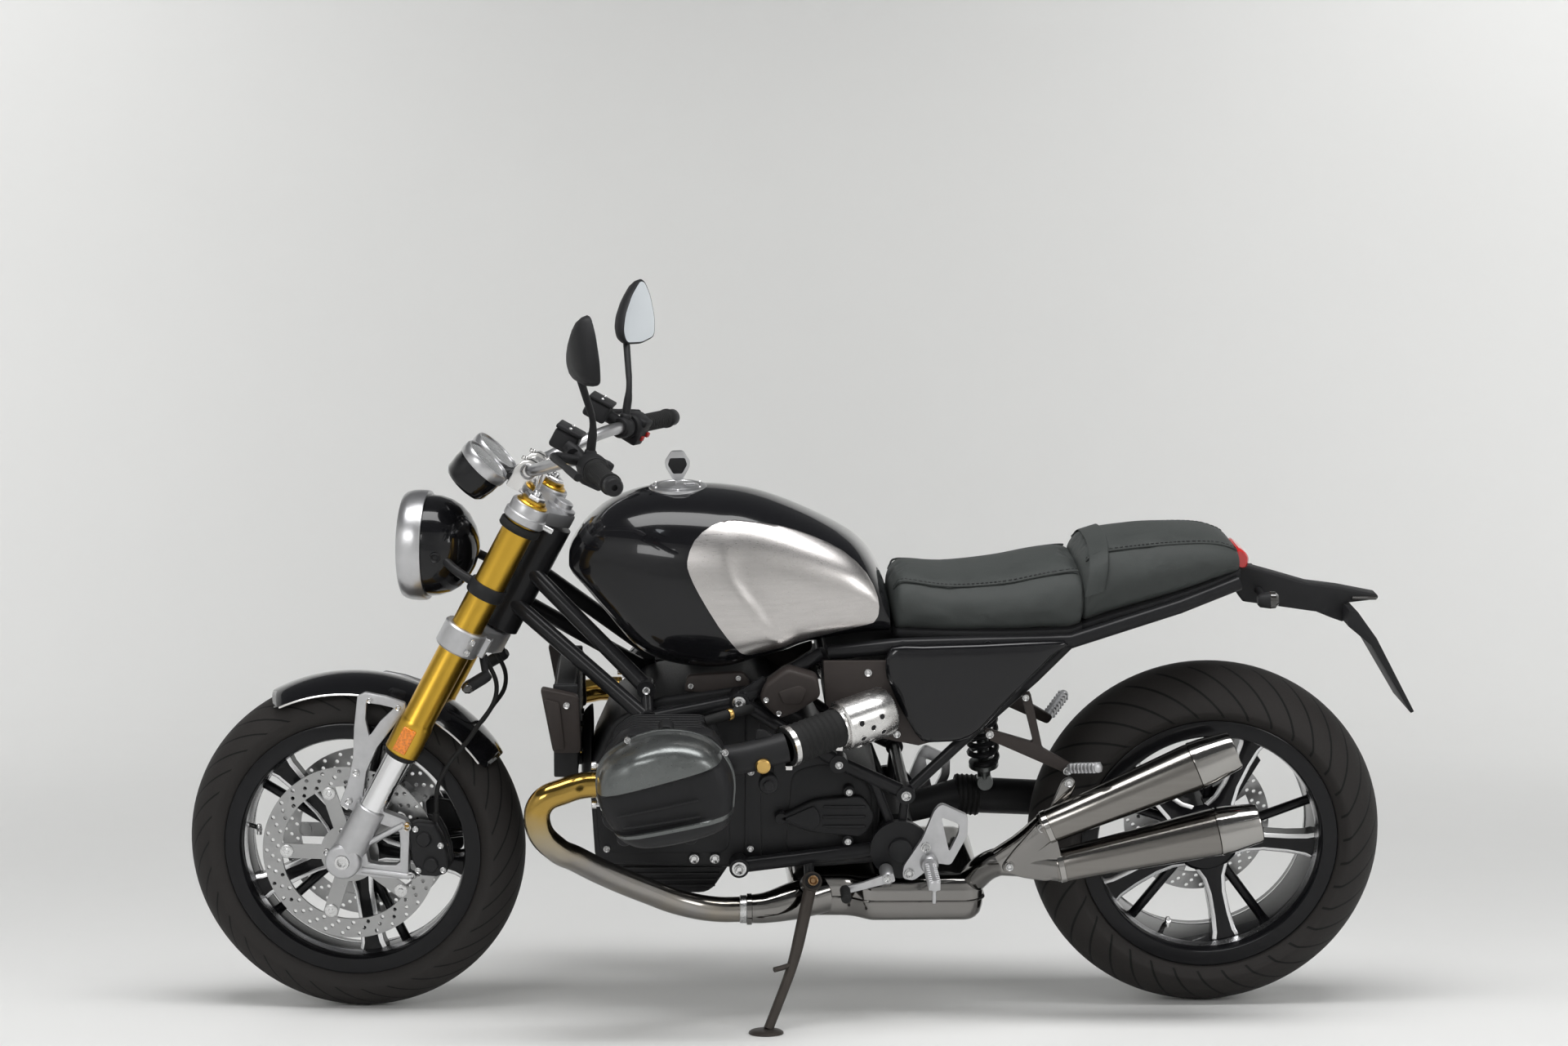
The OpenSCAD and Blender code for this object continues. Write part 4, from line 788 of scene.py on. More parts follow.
def makeForkFeet():
    look = forkLook
    bm = bmesh.new()
    foot = (look["x"], -look["y"], 0)
    lathe(bm, [(22.7, 106), (25, 106), (27, 104), (27.5, 60), (29, 30), (27, 18), (0, 16)], "Z", foot, 48)
    bothSides(bm)
    addPiece("forkLegEnds", bm, onFork, "castSilver", hides="fork_feet")
    bm = bmesh.new()
    outline = [(-10, 26), (8, 62), (28, 97), (60, 92), (108, 74), (116, 60), (114, 20), (112, -20),
        (128, -26), (124, -34), (70, -33), (14, -28)]
    window = [(36, 30), (44, 50), (54, 68), (78, 60), (97, 51), (98, 24), (97, -2), (90, -8), (64, -8),
        (42, -6)]
    windowPlate(bm, outline, window, -110, -88, 3.5)
    lathe(bm, [(13, -131), (25, -131), (29, -129), (31, -125), (31.5, -100), (31, -82), (28, -78),
        (13, -78)], "Y", (0, 0, 0), 48)
    for x0, z0, x1, z1 in ((30, 24, 106, 66), (30, -18, 118, -28)):
        tube(bm, [(x0, -110, z0), (x1, -110, z1)], 5.5, sides=3)
    bothSides(bm)
    addPiece("forkArms", bm, onFrontHub, "castSilver")
    bm = bmesh.new()
    for side in (-1, 1):
        turned(bm, [(0, 0), (11.6, 0), (12.4, 2), (12.4, 8)], (0, side * 126, 0), (0, -side, 0), 6)
    sideBolts(bm, [(112, 108, 62), (118, 108, -26)], 7.5, 8)
    sideBolts(bm, [(22, 110, 12)], 5.5, 4)
    addPiece("axleSockets", bm, onFrontHub, "boltSteel")


def makeClamps():
    look = forkLook
    bm = bmesh.new()
    z0, z1 = look["clampLow"]
    foot = (look["x"], -look["y"], 0)
    lathe(bm, [(28.1, z0), (36, z0), (38.5, z0 + 3), (38.5, z1 - 3), (36, z1), (28.1, z1)], "Z", foot, 56)
    bridge = [(-61, -76), (-58, 0), (-61, 76), (-18, 78), (16, 34), (26, 0), (16, -34), (-18, -78)]
    bothSides(bm)
    plate(bm, bridge, z0 + 3, z1 - 3, 3, flat=True)
    for side in (-1, 1):
        block(bm, (-6, side * 86, (z0 + z1) / 2), (26, 26, z1 - z0 - 8), bevel=3)
    addPiece("lowerClamp", bm, onFork, "castSilver", hides="lower_clamp")
    bm = bmesh.new()
    z0, z1 = look["clampTop"]
    lathe(bm, [(28.1, z0), (35, z0), (37, z0 + 2), (37, z0 + 14), (34, z0 + 16), (34, z1 - 3), (32, z1),
        (28.1, z1)], "Z", foot, 56)
    bothSides(bm)
    plate(bm, [(-62, -78), (-72, 0), (-62, 78), (-20, 80), (10, 40), (30, 0), (10, -40), (-20, -80)],
        z0 + 2, z1 - 6, 4, flat=True)
    lathe(bm, [(0, z1 + 10), (14, z1 + 10), (17, z1 + 8), (17, z1), (26, z1 - 2), (26, z1 - 6)], "Z",
        (0, 0, 0), 32)
    addPiece("upperClamp", bm, onFork, "castSilver", hides="upper_clamp")
    bm = bmesh.new()
    for side in (-1, 1):
        y = side * 42
        riser = [(-100, 712), (-100, 748), (-94, 764), (-82, 772), (-68, 772), (-58, 762), (-52, 740),
            (-50, 712)]
        plate(bm, riser, y - 13, y + 13, 3)
        for x in (-93, -59):
            boltHead(bm, (x, y, 764), (0, 0, 1), 5.5, 6)
    addPiece("barRisers", bm, onFork, "polished")
    bm = bmesh.new()
    for side in (-1, 1):
        for z in (440, 461):
            boltHead(bm, (-20, side * 136, z), (0.5, side, 0), 5.5, 6)
        boltHead(bm, (-14, side * 104, 690), (1, 0, 0), 5.5, 26)
    addPiece("clampBolts", bm, onFork, "boltSteel")


# cockpit: bar, grips, switches, levers, mirrors, headlight and twin gauges
barLook = {"mid": Vector((-76, 0, 752)), "gripIn": Vector((38, 285, 855)),
    "gripDir": Vector((0.31, 0.94, 0.13)).normalized(), "gripR": 16.5}


def alongBar(d, side):
    p = barLook["gripIn"] + barLook["gripDir"] * d
    return Vector((p.x, p.y * side, p.z))


def barWay(side):
    w = barLook["gripDir"]
    return Vector((w.x, w.y * side, w.z))


def makeHandlebar():
    mid = barLook["mid"]
    bm = bmesh.new()
    route = [alongBar(122, -1), alongBar(-133, -1), (mid.x, -66, mid.z), (mid.x, 66, mid.z),
        alongBar(-133, 1), alongBar(122, 1)]
    tube(bm, route, 11, bend=44, sides=5)
    turned(bm, [(11.2, -62), (14, -58), (14, 58), (11.2, 62)], mid, (0, 1, 0), 32)
    addPiece("barTube", bm, onFork, "satinSilver", hides="handlebar")
    bm = bmesh.new()
    r = barLook["gripR"]
    profile = [(11.2, 1), (r + 4.5, 1), (r + 4.5, 6), (r + 1, 9)]
    for k in range(12):
        d = 14 + k * 7.6
        profile += [(r, d), (r, d + 4.6), (r - 1.4, d + 5.4), (r - 1.4, d + 6.8)]
    profile += [(r, 108), (r + 1.5, 111), (r + 1.5, 116), (11.2, 118)]
    for side in (-1, 1):
        turned(bm, profile, alongBar(0, side), barWay(side), 36)
    addPiece("gripRubbers", bm, onFork, "softRubber", hides="grips")
    bm = bmesh.new()
    for side in (-1, 1):
        turned(bm, [(9, 118), (14, 118), (15.5, 121), (15.5, 139), (13, 143), (5, 144), (5, 137), (0, 137)],
            alongBar(0, side), barWay(side), 32)
    addPiece("barWeights", bm, onFork, "castBlack", slot="rubber")


def makeHandControls():
    bm = bmesh.new()
    for side in (-1, 1):
        way = barWay(side)
        turned(bm, [(12, -46), (21, -46), (24, -42), (25, -34), (25, -6), (22, -1), (12, 0)],
            alongBar(0, side), way, 24)
        turned(bm, [(12, -80), (17, -80), (19, -77), (19, -53), (17, -50), (12, -50)], alongBar(0, side),
            way, 24)
        perch = alongBar(-62, side)
        # switch cluster hanging inside the grip
        block(bm, alongBar(-26, side) + Vector((6, 0, -14)), (40, 34, 30), bevel=6, aim=way)
        block(bm, alongBar(-26, side) + Vector((10, 0, 16)), (34, 30, 14), bevel=4, aim=way)
        # master cylinder and its square reservoir
        tube(bm, [perch + Vector((-12, 0, 2)), perch + Vector((-46, -14 * side, 10))], 12, sides=3)
        tube(bm, [perch + Vector((-30, 6 * side, 4)), perch + Vector((-58, -52 * side, 6))], 10.5, sides=3)
        block(bm, perch + Vector((-54, -32 * side, 12)), (44, 50, 34), bevel=6)
        block(bm, perch + Vector((-54, -32 * side, 32)), (47, 53, 7), bevel=2.5)
        # lever blade with a bent tip
        blade = [perch + Vector((-16, 10 * side, 0)), perch + Vector((-60, 38 * side, -8)),
            alongBar(50, side) + Vector((-64, 0, -14)), alongBar(112, side) + Vector((-50, 0, -16))]
        tube(bm, blade, 6.6, bend=26, sides=3, radii=(1.3, 1.1, 0.95, 0.8, 1.05))
    addPiece("handControls", bm, onFork, "mouldedBlack", hides="hand_controls")
    bm, screws = bmesh.new(), bmesh.new()
    for side in (-1, 1):
        way = barWay(side)
        for d, dx, dz in ((-14, 27, -6), (-30, 27, -12)):
            block(bm, alongBar(d, side) + Vector((dx, 0, dz)), (7, 10, 9), bevel=1.5, aim=way)
        for dy in (-18, 18):
            boltHead(screws, alongBar(-62, side) + Vector((-54, -32 * side + dy, 35)), (0, 0, 1), 3.2, 2.5)
    addPiece("reservoirScrews", screws, onFork, "boltSteel")
    addPiece("switchKeys", bm, onFork, "redButton")


mirrorLook = {
    "turnDeg": 24,
    "leaf": [(-46, -46), (10, -52), (58, -46), (66, -12), (58, 34), (42, 62), (26, 66), (-10, 42), (-42, 6),
        (-54, -24)],
    "shell": [(-30, 0.2), (-28.5, 0.45), (-24, 0.68), (-18, 0.85), (-9, 0.96), (0, 1.0), (3, 0.97)],
    "glass": [(2.2, 0.93), (3.9, 0.93), (4.1, 0.9)],
}


def makeMirrors():
    look = mirrorLook
    leaf = roundedLoop(look["leaf"], 12, 4)
    bm = bmesh.new()
    glass = bmesh.new()
    for side in (-1, 1):
        base = alongBar(-62, side) + Vector((-4, 0, 14))
        knee = base + Vector((-20, 6 * side, 54))
        head = Vector((-60, 300 * side, 986))
        tube(bm, [base, knee, head], 6, bend=22, sides=4, radii=(1.35, 1.2, 0.95, 0.9, 0.9, 1.1))
        turned(bm, [(0, -2), (9.5, -2), (10.5, 0), (10.5, 12), (8, 15), (0, 16)], base - Vector((0, 0, 4)),
            (-0.2, 0, 1), 20)
        at = Matrix.Translation(head + Vector((-2, 14 * side, 36))) @ Matrix.Rotation(-rake - 0.1, 4, "Y")
        at = at @ Matrix.Rotation(math.radians(-look["turnDeg"] * side), 4, "Z")
        for shape, rows in ((bm, look["shell"]), (glass, look["glass"])):
            loft(shape, [[at @ Vector((d, u * k * side, v * k)) for u, v in leaf] for d, k in rows])
    addPiece("mirrorShells", bm, onFork, "mouldedBlack", hides="mirrors", sharpDeg=60)
    addPiece("mirrorGlass", glass, onFork, "mirrorGlass")


lampLook = {"place": Vector((-159, 0, 548)), "r": 96}
onLamp = (forkSpace @ Matrix.Translation(lampLook["place"]) @ Matrix.Rotation(-rake, 4, "Y"), "steering")


def makeHeadlight():
    r = lampLook["r"]
    bm = bmesh.new()
    bowl = [(r - 7, -18), (r - 7, -12), (r - 9, 6), (r - 15, 24), (r - 25, 40), (r - 40, 54), (r - 60, 65),
        (r - 80, 71), (0, 73)]
    turned(bm, bowl, (0, 0, 0), (1, 0, 0), 64)
    addPiece("lampBowl", bm, onLamp, "glossBlack", hides="headlight", sharpDeg=60, merge=wideGap)
    bm = bmesh.new()
    rim = [(r - 13, -20), (r - 6, -15), (r - 1.5, -15), (r, -18), (r + 0.6, -30), (r, -42), (r - 2.5, -52),
        (r - 6, -57), (r - 10, -58), (r - 13, -56), (r - 14, -40)]
    turned(bm, rim, (0, 0, 0), (1, 0, 0), 80)
    addPiece("lampRim", bm, onLamp, "satinSilver", hides="headlight_rim", merge=wideGap)
    bm = bmesh.new()
    turned(bm, [(0, -56), (30, -55), (60, -51), (r - 14, -44), (r - 14, -41), (60, -48), (0, -53)],
        (0, 0, 0), (1, 0, 0), 64)
    addPiece("lampGlass", bm, onLamp, "headGlass", sharpDeg=60, merge=wideGap)
    bm = bmesh.new()
    turned(bm, [(r - 14, -42), (70, -36), (40, -24), (18, -14), (0, -12)], (0, 0, 0), (1, 0, 0), 64)
    for k in range(6):
        a = math.tau * k / 6
        block(bm, (-40, 46 * math.cos(a), 46 * math.sin(a)), (10, 26, 26), bevel=4)
    addPiece("lampReflector", bm, onLamp, "chrome", sharpDeg=50)
    bm = bmesh.new()
    x, y = forkLook["x"], forkLook["y"]
    for side in (-1, 1):
        lathe(bm, [(28.2, 534), (32, 534), (33.5, 537), (33.5, 555), (32, 558), (28.2, 558), (28.2, 534)],
            "Z", (x, side * y, 0), 36)
        tube(bm, [(x - 26, side * (y - 6), 546), (x - 60, side * 92, 546), (-132, side * 70, 548)], 8,
            bend=20, sides=3)
        boltHead(bm, (-146, side * 88, 548), (0, side, 0), 9, 6)
    addPiece("lampBrackets", bm, onFork, "castBlack", slot="gloss_black")


gaugeLook = {"place": Vector((-147, 0, 733)), "r": 46, "gap": 3, "tiltDeg": 45}
onGauges = (forkSpace @ Matrix.Translation(gaugeLook["place"]) @ Matrix.Rotation(-rake, 4, "Y"), "steering")


def makeGauges():
    r = gaugeLook["r"]
    pods, bezels, dials, marks, glass = [bmesh.new() for k in range(5)]
    tilt = math.radians(gaugeLook["tiltDeg"])
    facing = Vector((math.sin(tilt), 0, math.cos(tilt)))
    across = Vector((math.cos(tilt), 0, -math.sin(tilt)))
    for side in (-1, 1):
        at = Vector((0, side * (r + gaugeLook["gap"]), 0))
        turned(pods, [(0, -62), (r - 18, -62), (r - 9, -59), (r - 4, -52), (r - 1.5, -30), (r - 1.5, -15)],
            at, facing, 48)
        turned(bezels, [(r - 2, -16), (r + 0.2, -15), (r + 0.8, -8), (r + 0.4, 1), (r - 1.5, 4), (r - 4, 4),
            (r - 5, 1), (r - 5.2, -2)], at, facing, 64)
        turned(dials, [(r - 5.2, -3), (0, -3)], at, facing, 48)
        turned(glass, [(r - 4.6, 1.2), (r * 0.6, 2.6), (0, 3.2), (0, 2.4), (r * 0.6, 1.8), (r - 4.6, 0.6)],
            at, facing, 48)
        for k in range(25):
            a = math.radians(-130 + 260 * k / 24)
            spoke = across * -math.cos(a) + Vector((0, math.sin(a), 0))
            long = 7 if k % 4 == 0 else 3.5
            p = at + spoke * (r - 9) + facing * -2.6
            tube(marks, [p, p - spoke * long], 0.55, sides=1)
        turned(bezels, [(6, -3), (5, -0.6), (0, -0.2)], at, facing, 20)
        needle = across * -0.6 + Vector((0, -0.75, 0))
        tube(marks, [at + facing * -1.4, at + facing * -1.4 + needle.normalized() * 30], 0.8, sides=1)
    tube(pods, [(-24, -40, -24), (-24, 40, -24)], 11, sides=3)
    addPiece("gaugePods", pods, onGauges, "glossBlack", hides="gauges", slot="black_plastic")
    addPiece("gaugeBezels", bezels, onGauges, "satinSilver", slot="chrome", sharpDeg=50)
    addPiece("gaugeGlass", glass, onGauges, "headGlass", sharpDeg=60, merge=wideGap)
    addPiece("gaugeDials", dials, onGauges, "dialBlack")
    addPiece("gaugeMarks", marks, onGauges, "dialWhite")
    bm = bmesh.new()
    tube(bm, [(-100, -50, 728), (-100, 50, 728)], 7, sides=3)
    tube(bm, [(-98, 0, 728), (-150, 0, 702)], 9, sides=3)
    addPiece("gaugeStay", bm, onFork, "castBlack", slot="black_plastic")


# front mudguard with its cast brackets, calipers, hoses and lamps
fenderLook = {"inR": 307, "wall": 4, "from": 33, "to": 118, "halfW": 68, "sectionR": 110}


def makeFender():
    look = fenderLook
    bm = bmesh.new()
    inR, outR = look["sectionR"], look["sectionR"] + look["wall"]
    c = look["inR"] - inR
    half = math.asin(look["halfW"] / inR)
    angles = [-half + 2 * half * k / 12 for k in range(13)]
    section = [(c + outR * math.cos(a), outR * math.sin(a)) for a in angles]
    section += [(c + inR * math.cos(a), inR * math.sin(a)) for a in reversed(angles)]
    rows = []
    for k in range(41):
        t = k / 40
        deg = look["from"] + (look["to"] - look["from"]) * t
        # both ends round off in plan
        pinch = 1 - 0.28 * max(0, abs(2 * t - 1) - 0.86) ** 2 / 0.0196
        rows.append([polar(r, deg, y * pinch) for r, y in section])
    loft(bm, rows)
    addPiece("mudguard", bm, onFrontHub, "glossBlack", hides="front_fender", sharpDeg=50)
    bm = bmesh.new()
    degs = [look["from"] + 3 + (look["to"] - look["from"] - 6) * k / 30 for k in range(31)]
    for side in (-1, 1):
        edgeR, edgeY = c + (inR + 2) * math.cos(half), side * (inR + 2) * math.sin(half)
        tube(bm, [polar(edgeR, deg, edgeY) for deg in degs], 2.2, bend=1, sides=2)
    addPiece("mudguardEdge", bm, onFrontHub, "polished", slot="chrome")


def makeFenderBrackets():
    bm = bmesh.new()
    outline = [(-13, 92), (16, 77), (28, 98), (36, 152), (56, 196), (84, 232), (108, 262), (106, 277),
        (72, 288), (36, 294), (22, 287), (15, 230), (12, 172), (2, 130)]
    window = [(42, 216), (62, 244), (86, 267), (62, 272), (38, 275), (36, 246)]
    windowPlate(bm, outline, window, -87, -77, 2.5)
    bothSides(bm)
    addPiece("mudguardBrackets", bm, onFrontHub, "castSilver", hides="fender_brackets")
    bm = bmesh.new()
    sideBolts(bm, [(4, 87, 98), (18, 87, 150)], 6.5, 5)
    sideBolts(bm, [(44, 87, 280), (94, 87, 268)], 5, 4)
    addPiece("bracketBolts", bm, onFrontHub, "boltSteel")


def makeCalipers():
    bm = bmesh.new()
    shape = [(111, 64), (128, 70), (158, 66), (170, 44), (179, 18), (182, -8), (178, -22), (160, -28),
        (132, -27), (118, 0), (116, 24)]
    plate(bm, shape, -108, -80, 5, 3)
    plate(bm, [(x * 0.985 + 2, z) for x, z in shape], -61, -46, 4, 3)
    block(bm, (150, -70, 18), (20, 30, 60), bevel=4)
    for x, z in ((140, 40), (152, -6)):
        turned(bm, [(0, 6), (11, 6), (13, 4), (13.5, 0)], (x, -108, z), (0, -1, 0), 24)
    bothSides(bm)
    addPiece("caliperHalves", bm, onFrontHub, "castBlack", hides="front_calipers", slot="caliper_black")
    bm = bmesh.new()
    sideBolts(bm, [(126, 108, 58), (170, 108, 30), (174, 108, -14), (130, 108, -16)], 5.5, 5)
    for side in (-1, 1):
        tube(bm, [(146, side * 74, 52), (166, side * 74, 18), (166, side * 74, -12)], 3, bend=10, sides=2)
    addPiece("caliperPins", bm, onFrontHub, "boltSteel")
    bm = bmesh.new()
    for side in (-1, 1):
        block(bm, (168, side * 73, 2), (14, 10, 40), bevel=2)
    sideBolts(bm, [(112, 110, 66)], 4.5, 6)
    addPiece("caliperPads", bm, onFrontHub, "brass")
    # floating disc bobbins and the carrier's bolts
    bm = bmesh.new()
    for side in (-1, 1):
        for k in range(5):
            p = polar(112, 36 + 72 * k, side * 71)
            turned(bm, [(0, 3.5), (4, 3.5), (5, 2.5), (10, 2.5), (11.5, 1.5), (11.5, -6)], p, (0, side, 0),
                24)
            p = polar(41, 36 + 72 * k, side * 71)
            boltHead(bm, p, (0, side, 0), 6, 4)
    addPiece("discBobbins", bm, onFrontWheel, "boltSteel")


hoseLook = {"route": [(4, 40, 424.8), (52, 48, 380), (52, 74, 306), (40, 88, 200), (62, 86, 142)], "r": 4}


def makeHoses():
    bm = bmesh.new()
    tube(bm, [(x, -y, z) for x, y, z in hoseLook["route"]], hoseLook["r"], sides=3, smooth=True)
    turned(bm, [(4.2, 0), (6, 1), (6, 16), (4.2, 17)], (60.5, -86, 146), (0.4, 0, -1), 16)
    bothSides(bm)
    addPiece("brakeHoses", bm, onFork, "softRubber", hides="brake_hoses")


def makeFrontSignals():
    bm, tips = bmesh.new(), bmesh.new()
    for side in (-1, 1):
        tube(bm, [(4, 74 * side, 430), (26, 88 * side, 406)], 6.5, sides=3)
        way = Vector((-24, 8 * side, -40)).normalized()
        turned(bm, [(0, -8), (7, -8), (10, -3), (11, 6), (11, 30)], (26, 88 * side, 406), way, 24)
        turned(tips, [(11, 30), (11.6, 31), (11, 40), (7, 46), (0, 48)], (26, 88 * side, 406), way, 24)
    addPiece("frontSignalArms", bm, onFork, "mouldedBlack", hides="front_signals", slot="signal_smoke")
    addPiece("frontSignalTips", tips, onFork, "smokeLens")


for make in (makeForkTubes, makeForkFeet, makeClamps, makeHandlebar, makeHandControls, makeMirrors,
        makeHeadlight, makeGauges, makeFender, makeFenderBrackets, makeCalipers, makeHoses,
        makeFrontSignals):
    make()
dress("chrome", "fork_stanchions")
dress("boltSteel", "front_axle")
print("front end made")


# tank: a lofted skin with a knee hollow behind each crease, brushed panels let into it
tankLook = {
    "halfW": 166,
    "rows": [(-374, 0.28, 812, 846), (-366, 0.37, 800, 862), (-345, 0.5, 778, 890), (-306, 0.67, 733, 922),
        (-256, 0.83, 678, 942), (-200, 0.93, 652, 950), (-115, 1, 645, 949), (-44, 1, 664, 937),
        (27, 0.95, 684, 911), (99, 0.86, 699, 875), (139, 0.79, 704.5, 844), (164, 0.74, 707.5, 806),
        (178, 0.7, 709.5, 768)],
    "crease": [(-118, 935), (-112, 900), (-105, 850), (-98, 822), (-75, 788), (-45, 748), (-19, 715),
        (4, 685)],
    "hollow": 13,
    "waist": 0.42,
    "square": (2.3, 3.4),
    "panel": [(-170, 852), (-158, 884), (-128, 907), (-90, 914), (-15, 903), (42, 884), (98, 856),
        (137, 820), (156, 781), (157, 752), (151, 740), (139, 734), (63, 715), (-21, 695), (-60, 687),
        (-76, 690), (-88, 703), (-117, 742), (-150, 797), (-166, 830)],
}


def between(a, b, c, d, t):
    # smooth curve from b to c with neighbours a and d
    out = []
    for p, q, r, s in zip(a, b, c, d):
        bend, twist = 2 * p - 5 * q + 4 * r - s, 3 * q - p - 3 * r + s
        out.append(0.5 * (2 * q + (r - p) * t + bend * t * t + twist * t ** 3))
    return out


def smoothRows(rows, steps):
    out = []
    for i in range(len(rows) - 1):
        a, d = rows[max(i - 1, 0)], rows[min(i + 2, len(rows) - 1)]
        out += [between(a, rows[i], rows[i + 1], d, k / steps) for k in range(steps)]
    return out + [list(rows[-1])]


def smoothLoop(pts, steps):
    n = len(pts)
    return [between(pts[i - 1], pts[i], pts[(i + 1) % n], pts[(i + 2) % n], k / steps) for i in range(n)
        for k in range(steps)]


def roundSection(x, hw, zw, zt, zb, nt, nb, count):
    # rounded section across x, squarer below than above
    out = []
    for i in range(count):
        a = math.tau * i / count
        n = nt if math.sin(a) >= 0 else nb
        c = math.copysign(abs(math.cos(a)) ** (2 / n), math.cos(a))
        s = math.copysign(abs(math.sin(a)) ** (2 / n), math.sin(a))
        out.append(Vector((x, -hw * c, zw + (zt - zw if s >= 0 else zw - zb) * s)))
    return out


def step01(a, b, v):
    t = max(0.0, min(1.0, (v - a) / (b - a)))
    return t * t * (3 - 2 * t)


def creaseX(z):
    line = tankLook["crease"]
    for (x0, z0), (x1, z1) in zip(line, line[1:]):
        if z1 <= z <= z0:
            return x0 + (x1 - x0) * (z0 - z) / (z0 - z1)
    return line[0][0] if z > line[0][1] else line[-1][0]


def kneeHollow(p):
    behind = p.x - creaseX(p.z)
    fall = min(max(behind, 0) / 46, 1)
    under = 0.3 * step01(950, 900, p.z) + 0.7 * step01(910, 770, p.z)
    deep = (1 - (1 - fall) ** 2) * (1 - step01(60, 260, behind)) * under * step01(640, 700, p.z)
    return tankLook["hollow"] * deep


def tankSkin(grow):
    look = tankLook
    bm = bmesh.new()
    sections = []
    for x, share, zb, zt in smoothRows(look["rows"], 9):
        half, waist = look["halfW"] * share + grow, zb + (zt - zb) * look["waist"]
        sections.append(roundSection(x, half, waist, zt + grow, zb - grow, *look["square"], 144))
    loft(bm, sections)
    for v in bm.verts:
        v.co.y -= math.copysign(min(kneeHollow(v.co), abs(v.co.y)), v.co.y) if abs(v.co.y) > 40 else 0
    return bm


def makeTank():
    addPiece("tankShell", tankSkin(0), onBike, "glossBlack", hides="fuel_tank", sharpDeg=60)
    bm = tankSkin(2.2)
    cutAway(bm, (0, -60, 0), (0, 1, 0))
    outline = smoothLoop(tankLook["panel"], 2)
    middle = Vector((0, 0, 810))
    for (x0, z0), (x1, z1) in zip(outline, outline[1:] + outline[:1]):
        away = Vector((z1 - z0, 0, x0 - x1))
        if away.dot(Vector((x0, 0, z0)) - middle) < 0:
            away.negate()
        cutAway(bm, (x0, 0, z0), away)
    grown = bmesh.ops.extrude_edge_only(bm, edges=[e for e in bm.edges if e.is_boundary])["geom"]
    for v in grown:
        if isinstance(v, bmesh.types.BMVert):
            v.co.y += 3.5
            v.co.x += 0.6 * (1 if v.co.x < 0 else -1)
    bothSides(bm)
    addPiece("kneePanels", bm, onBike, "brushedPanel", hides="tank_panels", sharpDeg=45, merge=wideGap)


capLook = {"place": Vector((-186, 0, 948)), "tiltDeg": -1, "r": 38, "ringR": 50}
capTilt = Matrix.Rotation(math.radians(capLook["tiltDeg"]), 4, "Y")
capSpace = bikeSpace @ Matrix.Translation(capLook["place"]) @ capTilt
onFiller = (capSpace, "chassis")
onCap = (capSpace, "fuel_cap")


def makeCap():
    r, ringR = capLook["r"], capLook["ringR"]
    bm = bmesh.new()
    turned(bm, [(27, -30), (27, -3), (r + 0.5, -3), (r + 0.5, 2.4), (r + 2, 3.6), (ringR - 4, 3.4),
        (ringR, 1.6), (ringR + 0.4, -1), (ringR, -32), (27, -32), (27, -30)], (0, 0, 0), (0, 0, 1), 64)
    addPiece("fillerRing", bm, onFiller, "satinSilver", hides="filler_ring", merge=wideGap)
    bm = bmesh.new()
    for k in range(6):
        boltHead(bm, (44.2 * math.cos(math.tau * (k + 0.5) / 6), 44.2 * math.sin(math.tau * (k + 0.5) / 6),
            2.6), (0, 0, 1), 2.6, 2)
    addPiece("fillerBolts", bm, onFiller, "boltSteel")
    bm = bmesh.new()
    turned(bm, [(0, 5.4), (16, 5.4), (18, 4.6), (30, 4.4), (r - 2, 3.4), (r, 1.5), (r, -2.7), (0, -2.7)],
        (0, 0, 0), (0, 0, 1), 64)
    turned(bm, [(0, -9), (4, -9), (4, 9), (0, 9)], (-41, 0, 2), (0, 1, 0), 20)
    block(bm, (-38, 0, 1.2), (12, 16, 3.4), bevel=1)
    block(bm, (20, 0, 6), (20, 12, 2.4), bevel=1)
    addPiece("fillerLid", bm, onCap, "satinSilver", hides="fuel_cap")
    # key in the lock with its framed fob
    bm = bmesh.new()
    plate(bm, roundedLoop([(-8, 12), (8, 12), (21, 36), (22, 46), (10, 64), (-10, 64), (-22, 46),
        (-21, 36)], 4), -4.8, 4.8, 1.8)
    block(bm, (0, 0, 9), (9, 2.6, 12), bevel=0.6)
    addPiece("keyFrame", bm, onCap, "satinSilver")
    bm = bmesh.new()
    plate(bm, roundedLoop([(-8, 24), (8, 24), (17, 40), (13, 52), (-13, 52), (-17, 40)], 3), -5.6, 5.6, 1.2)
    addPiece("keyFob", bm, onCap, "mouldedBlack")


# seats: foam under a stitched cover, swelled by a short cloth run
seatLook = {
    "rail": [(60, 680), (200, 697), (489, 705), (676, 762), (782, 799)],
    "railR": 13.4,
    "rider": {"halfW": 138, "square": 2.6, "rows": [(185, 0.66, 786), (190, 0.74, 800), (204, 0.8, 811),
        (280, 0.92, 803), (371, 1, 811), (440, 1, 826), (490, 0.97, 834), (508, 0.95, 832)]},
    "pillion": {"halfW": 122, "square": 2.7, "rows": [(509, 1, 842), (524, 1.02, 860), (545, 1, 868),
        (644, 0.98, 877), (726, 0.92, 876), (768, 0.84, 864), (786, 0.76, 850)]},
    "waist": 0.42,
    "shrink": 3.0,
    "voxel": 5.0,
    "pressure": 4,
    "frames": 15,
    "cap": 5.0,
}


def railZ(x):
    line = seatLook["rail"]
    for (x0, z0), (x1, z1) in zip(line, line[1:]):
        if x <= x1:
            return z0 + (z1 - z0) * (x - x0) / (x1 - x0)
    return line[-1][1]


def seatSection(which, x, share, zt, wider, taller, count):
    look = seatLook[which]
    zb = railZ(x) + seatLook["railR"]
    waist = zb + (zt - zb) * seatLook["waist"]
    return roundSection(x, look["halfW"] * share + wider, waist, zt + taller, zb, look["square"], 5, count)


